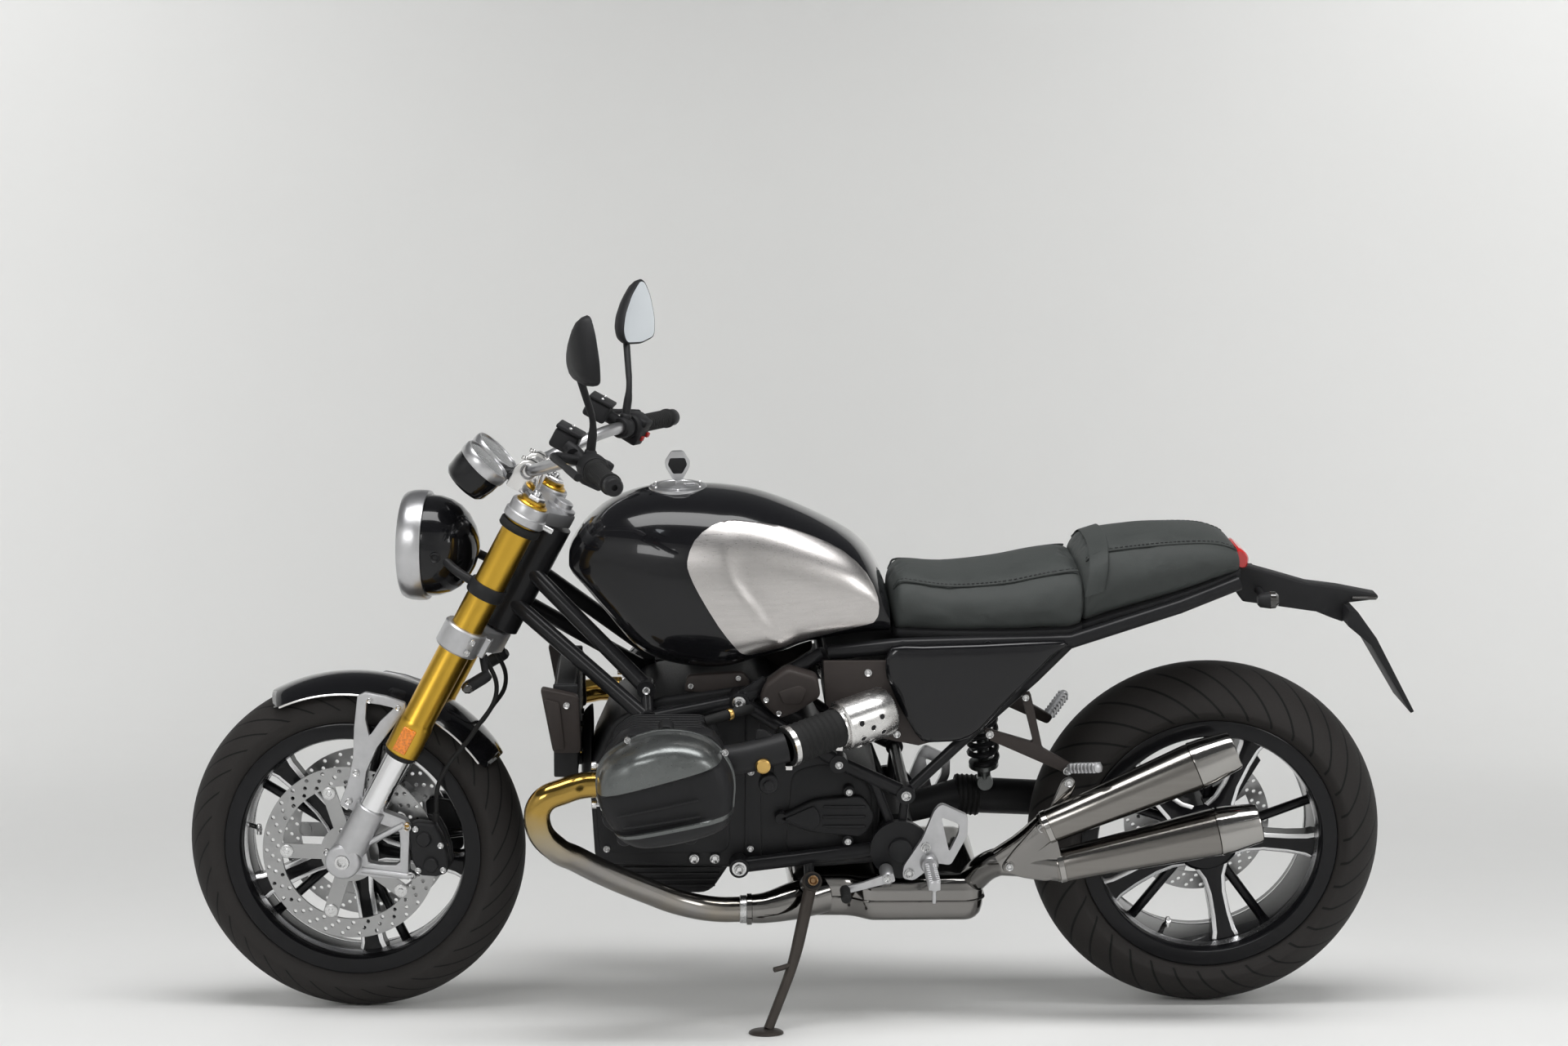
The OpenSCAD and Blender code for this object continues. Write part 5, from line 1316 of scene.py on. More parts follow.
def keepShape(pad):
    # the modifiers' result becomes the mesh
    graph = bpy.context.evaluated_depsgraph_get()
    made = bpy.data.meshes.new_from_object(pad.evaluated_get(graph))
    pad.modifiers.clear()
    pad.data = made


def swell(bm, name):
    # remesh, inflate a little, and let no point move further than the cap
    mesh = bpy.data.meshes.new(name)
    bm.to_mesh(mesh)
    bm.free()
    pad = addObject(name, mesh)
    even = pad.modifiers.new("even", "REMESH")
    even.mode = "VOXEL"
    even.voxel_size = seatLook["voxel"] * 0.001
    keepShape(pad)
    start = [v.co.copy() for v in pad.data.vertices]
    cloth = pad.modifiers.new("foam", "CLOTH")
    cloth.settings.use_pressure = True
    cloth.settings.uniform_pressure_force = seatLook["pressure"]
    cloth.settings.effector_weights.gravity = 0
    cloth.settings.quality = 5
    scene = bpy.context.scene
    for f in range(1, seatLook["frames"] + 1):
        scene.frame_set(f)
    keepShape(pad)
    scene.frame_set(1)
    limit = seatLook["cap"] * 0.001
    for v, s in zip(pad.data.vertices, start):
        move = v.co - s
        if move.length > limit:
            v.co = s + move.normalized() * limit
    out = bmesh.new()
    out.from_mesh(pad.data)
    bpy.data.objects.remove(pad)
    return out


def makeSeat(which, hidden):
    bm = bmesh.new()
    less = -seatLook["shrink"]
    rows = seatLook[which]["rows"]
    loft(bm, [seatSection(which, x, share, zt, less, less, 48) for x, share, zt in smoothRows(rows, 3)])
    bmesh.ops.recalc_face_normals(bm, faces=bm.faces)
    bm.transform(bikeSpace)
    pad = swell(bm, which + "Pad")
    for k in range(2):
        bmesh.ops.smooth_vert(pad, verts=pad.verts, factor=0.5, use_axis_x=True, use_axis_y=True,
            use_axis_z=True)
    piece = addPiece(which + "Cushion", pad, (Matrix(), "chassis"), "seatCover", hides=hidden, sharpDeg=80,
        subdiv=1)
    # welt along the upper edge on each side and a row of stitches beside it
    welt, stitches = bmesh.new(), bmesh.new()
    for side in (-1, 1):
        line = []
        for x, share, zt in smoothRows(rows, 4):
            seam = seatSection(which, x, share, zt, 0.4, 0.2, 96)[13]
            line.append(Vector((seam.x, -side * seam.y, seam.z)))
        tube(welt, line[2:-2], 1.9, bend=1, sides=2)
        for a, b in zip(line[2:-3], line[3:-2]):
            n = max(int((b - a).length / 7), 1)
            for k in range(n):
                beside = Vector((0, -5.5 * side, 2.6))
                stitch = [a.lerp(b, (k + t) / n) + beside for t in (0.15, 0.75)]
                tube(stitches, stitch, 0.7, sides=1)
    addPiece(which + "Welt", welt, onBike, "seatCover")
    addPiece(which + "Stitches", stitches, onBike, "seatThread")


def makeSeatPans():
    # moulded base under both cushions, down to the rails
    bm = bmesh.new()
    for which in ("rider", "pillion"):
        look = seatLook[which]
        rows = []
        for x, share in [row[:2] for row in smoothRows(look["rows"], 2)]:
            z = railZ(x)
            rows.append(roundSection(x, look["halfW"] * share - 9, z + 14, z + 26, z + 1, 4, 4, 32))
        loft(bm, rows)
    addPiece("seatPans", bm, onBike, "mouldedBlack")


def makeSeatStrap():
    # sewn strap over the step between the two seats
    bm = bmesh.new()
    rows = []
    for x, lift in ((520, 2.5), (522, 4.2), (550, 4.2), (552, 2.5)):
        share, zt = (1.02, 858) if x < 530 else (1.0, 868)
        upper = seatSection("pillion", x, share, zt, lift, lift, 64)[:33]
        rows.append([Vector((p.x - 0.16 * (880 - p.z) + 6, p.y, p.z)) for p in upper])
    for a, b in zip(rows, rows[1:]):
        edges = []
        for line in (a, b):
            verts = [bm.verts.new(p) for p in line]
            edges += [bm.edges.new(pair) for pair in zip(verts, verts[1:])]
        bmesh.ops.bridge_loops(bm, edges=edges)
    addPiece("seatStrap", bm, onBike, "seatCover", sharpDeg=50, merge=wideGap)


# side panels, airbox covers and tail
def drawnTo(outline, middle, y, share):
    # the outline at y, drawn towards its middle
    mx, mz = middle
    return [Vector((mx + (x - mx) * share, y, mz + (z - mz) * share)) for x, z in outline]


def makeSidePanels():
    bm = bmesh.new()
    outline = smoothLoop([(178, 702), (230, 705), (330, 708), (474, 713), (462, 694), (418, 648),
        (372, 600), (340, 562), (322, 546), (300, 537), (262, 534), (232, 537), (210, 568), (192, 600),
        (176, 636), (168, 664)], 2)
    # the panel bows out a little in the middle
    bow = ((-151, 1.0), (-160, 1.0), (-163, 0.985), (-167, 0.9), (-169, 0.7), (-170, 0.35))
    loft(bm, [drawnTo(outline, (280, 640), y, k) for y, k in bow])
    bothSides(bm)
    addPiece("sidePanelSkins", bm, onBike, "glossBlack", hides="side_panels", sharpDeg=50)
    bm = bmesh.new()
    plate(bm, [(62, 676), (66, 600), (112, 548), (228, 524), (300, 545), (330, 600), (330, 668),
        (200, 676)], -150, -142.4, 2.5)
    bothSides(bm)
    addPiece("airboxSkins", bm, onBike, "brownBlack", hides="airbox_covers")
    bm = bmesh.new()
    sideBolts(bm, [(139, 150, 656), (190, 150, 546)], 6.5, 5)
    addPiece("airboxBolts", bm, onBike, "boltSteel")


def makeTail():
    bm = bmesh.new()
    outline = smoothLoop([(786.8, 816), (786.8, 846), (800, 842), (808, 830), (804, 813)], 3)
    bow = ((-46, 0.82), (-42, 0.97), (-30, 1), (30, 1), (42, 0.97), (46, 0.82))
    loft(bm, [drawnTo(outline, (787, 829), y, k) for y, k in bow])
    addPiece("tailLens", bm, onBike, "redLens", hides="tail_light")
    bm = bmesh.new()
    arm = [(787, 772), (787, 814), (808, 810), (862, 795), (920, 778), (975, 771), (1046, 757), (1046, 749),
        (990, 742), (987, 707), (962, 716), (938, 726), (870, 736), (806, 745)]
    plate(bm, arm, -18, 18, 5, 3)
    holder = [(984, 742), (1000, 738), (1036, 690), (1110, 556), (1104, 553), (1027, 677), (984, 712)]
    plate(bm, holder, -62, 62, 1.6)
    tube(bm, [(1000, -40, 716), (1000, 40, 716)], 9, sides=3)
    addPiece("tailArm", bm, onBike, "mouldedBlack", hides="tail_arm")
    bm = bmesh.new()
    block(bm, (1056, 0, 640), (4, 40, 14), bevel=1.2, aim=(0, 1, 0))
    addPiece("plateReflector", bm, onBike, "redLens")
    bm, lens = bmesh.new(), bmesh.new()
    for side in (-1, 1):
        tube(bm, [(832, side * 17, 766), (832, side * 60, 767), (830, side * 96, 770)], 5.5, bend=14,
            sides=3, radii=(1.2, 1.0, 1.1))
        turned(bm, [(0, -20), (8, -20), (12, -16), (14.5, 0)], (834, side * 102, 770), (1, 0, 0.03), 28)
        turned(lens, [(14.5, 0), (15.2, 1), (14.6, 10), (10, 15), (0, 16.5)], (834, side * 102, 770),
            (1, 0, 0.03), 28)
    addPiece("rearSignalArms", bm, onBike, "mouldedBlack", hides="rear_signals", slot="signal_smoke")
    addPiece("rearSignalLenses", lens, onBike, "smokeLens")
    bm = bmesh.new()
    block(bm, (1020, 0, 752), (44, 46, 6), bevel=2)
    addPiece("plateLamp", bm, onBike, "smokeLens")


makeTank()
makeCap()
makeSeat("rider", "rider_seat")
makeSeat("pillion", "pillion_seat")
makeSeatPans()
makeSeatStrap()
makeSidePanels()
makeTail()
dress("mouldedBlack", "airbox")
print("bodywork made")


# engine: cases, finned cylinders and two-tone covers
engineLook = {
    "bore": Vector((-205, 0, 505)),
    "rightShift": 30,
    "cases": [(-330, 300), (-340, 470), (-300, 560), (-230, 600), (-60, 626), (40, 560), (70, 500),
        (165, 452), (165, 300), (60, 292), (-100, 292)],
    "sump": [(-320, 320), (-290, 240), (-130, 238), (-90, 300)],
    "gearCover": [(-18, 388), (48, 422), (134, 430), (158, 390), (136, 354), (40, 364)],
    "fin": [(-92, -60), (-92, 56), (-60, 84), (64, 84), (84, 60), (84, -60), (60, -80), (-60, -80)],
    "head": [(-108, -66), (-106, 50), (-70, 92), (76, 92), (98, 62), (98, -60), (66, -86), (-76, -86)],
    "finCount": 10,
    "finFrom": 172,
    "finPitch": 9.6,
}
coverLook = {
    "outline": [(-117, 8), (-98, 62), (-20, 100), (60, 92), (106, 46), (114, -10), (92, -62), (-36, -92),
        (-94, -60)],
    "rings": [(1, 312.3), (1, 318), (0.985, 319.5), (0.985, 321), (1, 322.5), (1, 327), (0.975, 330),
        (0.968, 350), (0.95, 364), (0.905, 378), (0.83, 388), (0.7, 395.5), (0.5, 399.5), (0.26, 401),
        (0.06, 401.2)],
    "ridge": ((-97, 10), (84, 60)),
    "lip": ((-80, -62), (102, -25)),
    "sunk": 13,
}


def twin(bm):
    # the right cylinder stands a little further back than the left
    bothSides(bm)
    for v in bm.verts:
        if v.co.y > 0:
            v.co.x += engineLook["rightShift"]


def overLine(line, x, z):
    (x0, z0), (x1, z1) = line
    run = Vector((x1 - x0, z1 - z0)).normalized()
    return -run.y * (x - x0) + run.x * (z - z0)


def splitAlong(bm, line, shift):
    (x0, z0), (x1, z1) = line
    across = Vector((z0 - z1, 0, x1 - x0)).normalized()
    cutAway(bm, Vector((x0, 0, z0)) + across * shift, across, clear=False)


def makeValveCovers():
    look = coverLook
    bm = bmesh.new()
    outline = smoothLoop(look["outline"], 12)
    loft(bm, [[Vector((x * k, -y, z * k)) for x, z in outline] for k, y in look["rings"]])
    bmesh.ops.subdivide_edges(bm, edges=[e for e in bm.edges if e.calc_length() > 9], cuts=1,
        use_grid_fill=True)
    for shift in (-5, -1.5, 0):
        splitAlong(bm, look["ridge"], shift)
    for shift in (-6, 0, 1.5, 5):
        splitAlong(bm, look["lip"], shift)
    for v in bm.verts:
        x, z = v.co.x, v.co.z
        if v.co.y > -330:
            continue
        under = -overLine(look["ridge"], x, z)
        over = overLine(look["lip"], x, z)
        sunk = step01(0, 4.5, under) * step01(0, 4.5, over) * step01(-112, -92, x) * step01(104, 40, x)
        v.co.y += look["sunk"] * sunk
        # crown above the ridge and the slim pad on its shoulder
        crown = step01(-2, 18, -under) * step01(70, 40, -under) * step01(-110, -60, x) * step01(105, 60, x)
        v.co.y -= 2.0 * crown
        pad = abs(overLine(((-60, 66), (16, 90)), x, z))
        v.co.y -= 3.2 * step01(13, 8, pad) * step01(-62, -52, x) * step01(22, 10, x)
    bm.transform(Matrix.Translation(engineLook["bore"]))
    twin(bm)

    def paint(f):
        middle = f.calc_center_median() - engineLook["bore"]
        x = middle.x - (engineLook["rightShift"] if middle.y > 0 else 0)
        if overLine(look["ridge"], x, middle.z) > -0.4:
            return 0
        lip = overLine(look["lip"], x, middle.z)
        if lip > 1.2 and abs(middle.y) > 331:
            return 1
        # the narrow band along the lip takes the grey finish, a painted highlight on its bevel; below it
        # the cast black
        return 0 if lip > -6 else 2

    addPiece("coverShells", bm, onBike, "coverGrey", "mouldedBlack", "castBlack", hides="valve_covers",
        sharpDeg=40, paint=paint)
    bm = bmesh.new()
    for (xa, za), (xb, zb) in (((-80, -24), (52, 5)), ((-70, -44), (56, -23))):
        tube(bm, [(xa, -391.5, za), ((xa + xb) / 2, -395.5, (za + zb) / 2), (xb, -393.4, zb)], 1.6, bend=50,
            sides=2)
    bm.transform(Matrix.Translation(engineLook["bore"]))
    twin(bm)
    addPiece("coverRibs", bm, onBike, "castBlack", slot="cover_grey")
    bm = bmesh.new()
    for x, z in ((-104, -30), (-30, -86), (100, -40), (98, 66), (-64, 88)):
        boltHead(bm, (x * 0.99 - 205, -325, z * 0.99 + 505), (0, -1, 0), 6, 7)
    twin(bm)
    addPiece("coverBolts", bm, onBike, "boltSteel")


def makeCylinders():
    look = engineLook
    bm = bmesh.new()
    turned(bm, [(62, 124), (62, 140), (54, 146), (54, 300)], (0, 0, 0), (0, -1, 0), 48)
    for k in range(look["finCount"]):
        y = -(look["finFrom"] + k * look["finPitch"])
        plate(bm, roundedLoop(look["fin"], 14), y - 3.4, y, 0.9, 1)
    plate(bm, roundedLoop(look["head"], 16), -312, -270, 3)
    # spark plug wells, rocker oil bosses and the exhaust port
    turned(bm, [(0, 0), (30, 0), (30, 6), (26, 10), (26, 14)], (-100, -284, -5), (-1, 0, 0), 32)
    for x, z in ((-70, -92), (40, -90), (0, 94)):
        turned(bm, [(0, 0), (13, 0), (13, 34), (11, 38), (0, 38)], (x, -272, z), (0, -1, 0), 20)
    bm.transform(Matrix.Translation(look["bore"]))
    twin(bm)
    addPiece("cylinderFins", bm, onBike, "castBlack", hides="cylinders")
    bm = bmesh.new()
    tube(bm, [(-140, -218, 590), (-118, -214, 596), (-78, -190, 600), (-60, -150, 592)], 8.5, bend=24,
        sides=3)
    twin(bm)
    addPiece("plugLeads", bm, onBike, "softRubber", slot="engine_black")
    bm = bmesh.new()
    turned(bm, [(9.4, -4), (10, -3), (10, 3), (9.4, 4)], (-98, -203, 598), (0.86, 0.5, 0.08), 20)
    twin(bm)
    addPiece("leadClips", bm, onBike, "brass", slot="engine_black")


def makeCases():
    look = engineLook
    bm = bmesh.new()
    plate(bm, roundedLoop(look["cases"], 20), -120, 120, 8, 3)
    plate(bm, roundedLoop([(-322, 320), (-330, 460), (-296, 548), (-226, 588), (-150, 596), (-120, 560),
        (-96, 470), (-96, 320)], 24), -123, 123, 4)
    plate(bm, roundedLoop(look["sump"], 20), -100, 100, 8, 3)
    # bell housing rib, gearbox shoulder and cooling ribs along the sump
    plate(bm, roundedLoop([(-70, 310), (-70, 590), (-46, 604), (-40, 310)], 8), -123, 123, 3)
    plate(bm, roundedLoop([(0, 320), (10, 470), (70, 486), (150, 446), (158, 320)], 22), -122.5, 122.5, 5)
    for k in range(5):
        block(bm, (-196, 0, 254 + k * 11), (150 + k * 8, 208, 4), bevel=1.4)
    turned(bm, [(0, 16), (60, 16), (72, 12), (80, 4), (83, 0), (83, -2)], (-339, 0, 470), (-1, 0, 0), 56)
    for k in range(9):
        a = math.radians(k * 40 + 10)
        boltHead(bm, (-352, 70 * math.sin(a), 470 + 70 * math.cos(a)), (-1, 0, 0), 5, 5)
    addPiece("engineCases", bm, onBike, "castBlack", hides="engine_block")
    # ribbed cover on the gearbox, drain plugs and case bolts
    bm = bmesh.new()
    plate(bm, roundedLoop(look["gearCover"], 16), -139, -122, 5, 3)
    plate(bm, roundedLoop([(-4, 389), (50, 414), (60, 396), (60, 380), (44, 368)], 8), -144, -134, 3)
    for z in (411, 393, 375):
        block(bm, (102, -140, z), (74, 5, 5), bevel=1.8)
    for x, z in ((110, 438), (109, 348), (-8, 389)):
        turned(bm, [(0, 18), (9, 18), (10, 16), (10, 0)], (x, -121, z), (0, -1, 0), 20)
    bothSides(bm)
    addPiece("gearboxCovers", bm, onBike, "mouldedBlack", slot="engine_black")
    bm = bmesh.new()
    sideBolts(bm, [(-158, 123, 312), (-122, 123, 312)], 9, 6)
    sideBolts(bm, [(110, 139, 438), (109, 139, 348), (-60, 123, 330), (-60, 123, 470), (-310, 121, 330),
        (-318, 121, 440), (-285, 121, 545)], 6, 6)
    addPiece("caseBolts", bm, onBike, "boltSteel")
    # small housings above the cases and under the tank
    bm = bmesh.new()
    plate(bm, roundedLoop([(-176, 612), (-170, 640), (-72, 646), (-60, 622), (-96, 606)], 8), -116, -96, 3)
    plate(bm, roundedLoop([(-47, 612), (-38, 640), (0, 668), (52, 652), (58, 618), (20, 592), (-14, 578)],
        10), -172, -128, 7, 3)
    plate(bm, roundedLoop([(-16, 628), (-6, 606), (24, 606), (34, 632), (20, 640)], 6), -175, -168, 2.4)
    bothSides(bm)
    addPiece("sideHousings", bm, onBike, "brownBlack", slot="engine_black")
    bm = bmesh.new()
    sideBolts(bm, [(-36, 171, 614), (-14, 171, 590), (-164, 115, 622), (-82, 115, 636)], 5, 4)
    addPiece("housingBolts", bm, onBike, "boltSteel")


def makeCooler():
    bm = bmesh.new()
    block(bm, (-379, 0, 545), (34, 250, 160), bevel=4)
    for k in range(15):
        block(bm, (-379, 0, 474 + k * 10), (42, 236, 3), bevel=0.8)
    for side in (-1, 1):
        block(bm, (-379, side * 122, 545), (42, 12, 166), bevel=3)
        turned(bm, [(0, 6), (9, 6), (10, 4), (10, 0)], (-359, side * 60, 474), (1, 0, 0), 20)
    addPiece("coolerCore", bm, onBike, "castBlack", hides="oil_cooler", slot="brown_black")
    bm = bmesh.new()
    plate(bm, roundedLoop([(-421, 628), (-356, 613), (-352, 512), (-400, 512)], 8), -148, -128.5, 4, 3)
    plate(bm, roundedLoop([(-414, 610), (-388, 602), (-380, 520), (-398, 518)], 5), -152, -146, 2.4)
    bothSides(bm)
    addPiece("coolerShrouds", bm, onBike, "brownBlack")
    bm = bmesh.new()
    sideBolts(bm, [(-376, 147, 598)], 6, 5)
    addPiece("shroudBolts", bm, onBike, "boltSteel")


# intake: throttle body, ribbed rubber boot between two clamps, pierced cover over the bell mouth
intakeLook = {
    "way": [Vector((-76, -272, 542)), Vector((-5, -258, 557)), Vector((95, -200, 577)),
        Vector((180, -158, 594))],
    "shift": [30, 0, 0, 0],
    "bootR": 33,
    "bellR": 43,
    "pierced": [(14, -62), (14, -24), (14, 14), (34, -44), (34, -4), (54, -24), (54, 14)],
}


def makeIntakes():
    look = intakeLook
    body, boot, clamps, cover, holes, caps = [bmesh.new() for k in range(6)]
    for side in (-1, 1):
        p = []
        for w, s in zip(look["way"], look["shift"]):
            p.append(Vector((w.x + (s if side > 0 else 0), -side * w.y, w.z)))
        head = Vector((p[0].x - 34, p[0].y, p[0].z - 4))
        tube(body, [head, p[0], p[1]], 26, bend=24, sides=7)
        run = (p[2] - p[1]).normalized()
        far = (p[2] - p[1]).length
        ribs = []
        for k in range(23):
            t = k / 22
            wave = 1.1 * math.cos(k * math.pi) * step01(0.12, 0.2, t) * step01(0.88, 0.8, t)
            ribs.append((look["bootR"] + wave, far * t))
        turned(boot, [(26, 0)] + ribs + [(38, far + 4)], p[1], run, 40)
        for at in (6, far - 9):
            turned(clamps, [(34, -5), (35.6, -4.4), (35.6, 4.4), (34, 5)], p[1] + run * at, run, 40)
            block(clamps, p[1] + run * at + Vector((0, side * 12, -33)), (12, 14, 8), bevel=1.5)
        out = (p[3] - p[2]).normalized()
        long = (p[3] - p[2]).length
        turned(cover, [(30, -6), (look["bellR"] - 3, -6), (look["bellR"], -3),
            (look["bellR"] + 0.6, long * 0.5), (look["bellR"], long - 14), (look["bellR"] - 4, long - 9),
            (30, long - 8)], p[2], out, 56)
        sideways = out.cross(Vector((0, 0, 1))).normalized() * side
        for along, deg in look["pierced"]:
            a = math.radians(deg)
            lift = out.cross(sideways).normalized() * side * math.sin(a)
            away = (-sideways * math.cos(a) - lift).normalized()
            if away.y * side < 0:
                away.negate()
            at = p[2] + out * along + away * look["bellR"]
            turned(cover, [(4.6, -2), (6.4, -1.5), (6.2, 1.1), (5.0, 1.4), (4.6, 0.8)], at, away, 20)
            # a black disc fills each hole: painted shade inside the opening
            turned(holes, [(0, 0.7), (4.7, 0.8), (4.7, -1)], at, away, 20)
        # fuel injector and blanking plugs beside the throttle
        turned(caps, [(0, 16), (10, 16), (12.5, 14), (12.5, 3), (10, 0), (9, -16)],
            (p[0].x + 32, side * 284, 536), (0, side, 0), 28)
        turned(body, [(0, 22), (8, 22), (9, 20), (9, 16), (15, 15), (17, 12), (17, 0), (13, -20)],
            (p[0].x + 42, side * 272, 500), (0, side, 0), 28)
        plate(body, roundedLoop([(p[0].x + 16, 560), (p[0].x + 22, 590), (p[0].x + 36, 588),
            (p[0].x + 66, 566)], 5), side * 262 - 4, side * 262 + 4, 1.5)
        tube(body, [(p[0].x + 42, side * 250, 500), (p[0].x + 40, side * 240, 530)], 12, sides=4)
    addPiece("throttleBodies", body, onBike, "castBlack", hides="intakes", slot="rubber")
    addPiece("intakeBoots", boot, onBike, "softRubber")
    addPiece("intakeClamps", clamps, onBike, "stainless", slot="disc_steel")
    addPiece("intakeCovers", cover, onBike, "stainless")
    addPiece("intakeHoles", holes, onBike, "dialBlack")
    addPiece("brassPlugs", caps, onBike, "brass")


# exhaust: two tinted headers into a low collector, a polished casting and two tapered cans
exhaustLook = {
    "header": [(-309, -284, 500), (-340, -284, 500), (-396, -302, 490), (-424, -304, 452),
        (-402, -294, 398), (-284, -205, 300), (-150, -146, 226), (-62, -146, 226)],
    "headerR": 22,
    "outline": [(12, -96), (40, -124), (112, -125), (146, -150), (328, -150), (350, -126), (350, 126),
        (328, 150), (40, 154), (6, 128)],
    "seam": [(40, -124.4), (112, -125.4), (146, -150.3), (328, -150.3), (350.3, -126), (350.3, 126),
        (328, 150.3), (60, 153.4)],
    "bottom": 197,
    "top": 281,
    "outlet": [(326, -112, 262), (352, -150, 308), (392, -192, 334)],
    "cans": [(Vector((466, -200, 322)), Vector((815, -200, 400))), (Vector((442, -200, 390)),
        Vector((767, -200, 532)))],
}


def drawnIn(outline, inset):
    middle = Vector((180, 0))
    moved = []
    for k, (x, y) in enumerate(outline):
        before, after = Vector(outline[k - 1]), Vector(outline[(k + 1) % len(outline)])
        run = (after - before).normalized()
        inward = Vector((-run.y, run.x))
        if inward.dot(middle - Vector((x, y))) < 0:
            inward = -inward
        moved.append((x + inward.x * inset, y + inward.y * inset))
    return moved


def makeHeaders():
    look = exhaustLook
    bm = bmesh.new()
    way = [Vector(p) for p in look["header"]]
    line = [way[0], way[1], way[1].lerp(way[2], 0.6), Vector((-412, -304, 476)), Vector((-419, -302, 436)),
        Vector((-388, -284, 386))]
    line += [way[4].lerp(way[5], 0.35), way[4].lerp(way[5], 0.75), way[5].lerp(way[6], 0.35),
        way[5].lerp(way[6], 0.75)]
    line += [Vector((-122, -146, 226.5)), way[7]]
    tube(bm, line, look["headerR"], sides=8, smooth=True)
    twin(bm)
    addPiece("headerPipes", bm, onBike, "tintedPipe", hides="exhaust_headers", sharpDeg=50)
    bm = bmesh.new()
    turned(bm, [(24, -5), (30, -4), (30, 4), (24, 6)], (-316, -284, 500), (-1, 0, 0), 36)
    for z in (466, 534):
        tube(bm, [(-304, -284, z), (-326, -284, z)], 4, sides=2)
        boltHead(bm, (-322, -284, z), (-1, 0, 0), 7, 8)
    turned(bm, [(22.6, -9), (24.4, -8), (24.4, 8), (22.6, 9)], (-70, -146, 226), (1, 0, 0), 36)
    twin(bm)
    addPiece("headerFlanges", bm, onBike, "boltSteel")


def makeCollector():
    look = exhaustLook
    part = bmesh.new()
    mid = (look["bottom"] + look["top"]) / 2
    outline = roundedLoop(look["outline"], 14, 3)
    rows = []
    for lift, inset in ((-42, 30), (-41, 20), (-37, 11), (-29, 4.5), (-16, 1), (0, 0), (16, 1), (29, 4.5),
            (37, 11), (41, 20), (42, 30)):
        rows.append([Vector((x, y, mid + lift)) for x, y in drawnIn(outline, inset)])
    loft(part, rows)
    for side, start in ((-1, -64), (1, -34)):
        way = [Vector((start, side * 146, 226)), Vector((start + 30, side * 145, 228)),
            Vector((start + 78, side * 132, 235)), Vector((start + 130, side * 104, 239))]
        tube(part, way, 24.5, sides=8, smooth=True, radii=(1, 1.02, 1.12, 1.3, 1.42, 1.45))
    # the collector and its seams take the darkened chrome, painted shade
    addPiece("collectorBox", part, onBike, "paintedShadeChrome", hides="collector", sharpDeg=50)
    # weld beads and the two inlet rings
    bm = bmesh.new()
    tube(bm, [(x, y, mid) for x, y in look["seam"]], 2.2, bend=8, sides=2)
    for x, y in ((-62, -146), (-32, 146)):
        turned(bm, [(23, -6), (27.4, -4), (27.4, 4), (23, 6)], (x, y, 226), (1, 0, 0), 36)
    addPiece("collectorSeams", bm, onBike, "paintedShadeChrome")


def makeSilencers():
    look = exhaustLook
    cans, tips, casting, screws, dark = [bmesh.new() for k in range(5)]
    tube(casting, look["outlet"], 25, bend=40, sides=8)
    for a, b in look["cans"]:
        run = (b - a).normalized()
        far = (b - a).length
        turned(cans, [(20, -4), (27, -2), (28.5, 4), (33, far * 0.3), (38.6, far * 0.62),
            (40.6, far * 0.74), (41, far * 0.785), (38, far * 0.79)], a, run, 64)
        turned(tips, [(38, far * 0.785), (41.8, far * 0.79), (42.2, far * 0.8), (41.4, far * 0.812),
            (40.8, far * 0.85), (35.6, far * 0.955), (34.6, far * 0.98), (33, far * 0.995), (29.4, far),
            (27, far * 0.99), (25, far * 0.86)], a, run, 64)
        # a black cone closes each can's mouth: painted shade inside the opening
        turned(dark, [(24, far * 0.88), (22, far * 0.72), (0, far * 0.7)], a, run, 40)
        turned(tips, [(27.6, 2), (30, 3), (30.4, 12), (28.6, 13)], a, run, 48)
    joint = Vector(look["outlet"][2])
    for a, b in look["cans"]:
        tube(casting, [joint - Vector((20, -4, 6)), joint.lerp(a, 0.5), a + (b - a).normalized() * 6], 25.5,
            bend=20, sides=8, radii=(1, 1.05, 1.08))
    # polished web joining both branches
    plate(casting, roundedLoop([(364, 322), (384, 352), (430, 408), (452, 416), (470, 360), (478, 312),
        (452, 300), (400, 308)], 16), -220, -184, 13, 4)
    for x, z in ((436, 398), (382, 329), (464, 322)):
        turned(casting, [(12, -14), (11, -4), (9, 2), (0, 2)], (x, -219, z), (0, -1, 0), 24)
        boltHead(screws, (x, -220.5, z), (0, -1, 0), 6.5, 5)
    # strap and bolt holding the pair to the passenger bracket
    plate(casting, roundedLoop([(452, 410), (476, 470), (492, 476), (500, 464), (480, 408)], 8), -176, -168,
        2.5)
    boltHead(screws, (486, -177, 466), (0, -1, 0), 8, 6)
    addPiece("canShells", cans, onBike, "brushedCan", hides="silencers")
    addPiece("canTips", tips, onBike, "tipSteel")
    # the casting takes the darkened chrome, painted shade
    addPiece("exhaustCasting", casting, onBike, "paintedShadeChrome")
    addPiece("castingScrews", screws, onBike, "boltSteel")
    addPiece("canMouths", dark, onBike, "dialBlack", slot="exhaust_steel")


makeCases()
makeCylinders()
makeValveCovers()
makeCooler()
makeIntakes()
makeHeaders()
makeCollector()
makeSilencers()
print("engine and exhaust made")


# rear suspension and drive on the right
shockLook = {"top": Vector((345, 50, 699)), "eye": Vector((372, 104, 376)), "coilR": 25, "wireR": 5.5,
    "turns": 7}


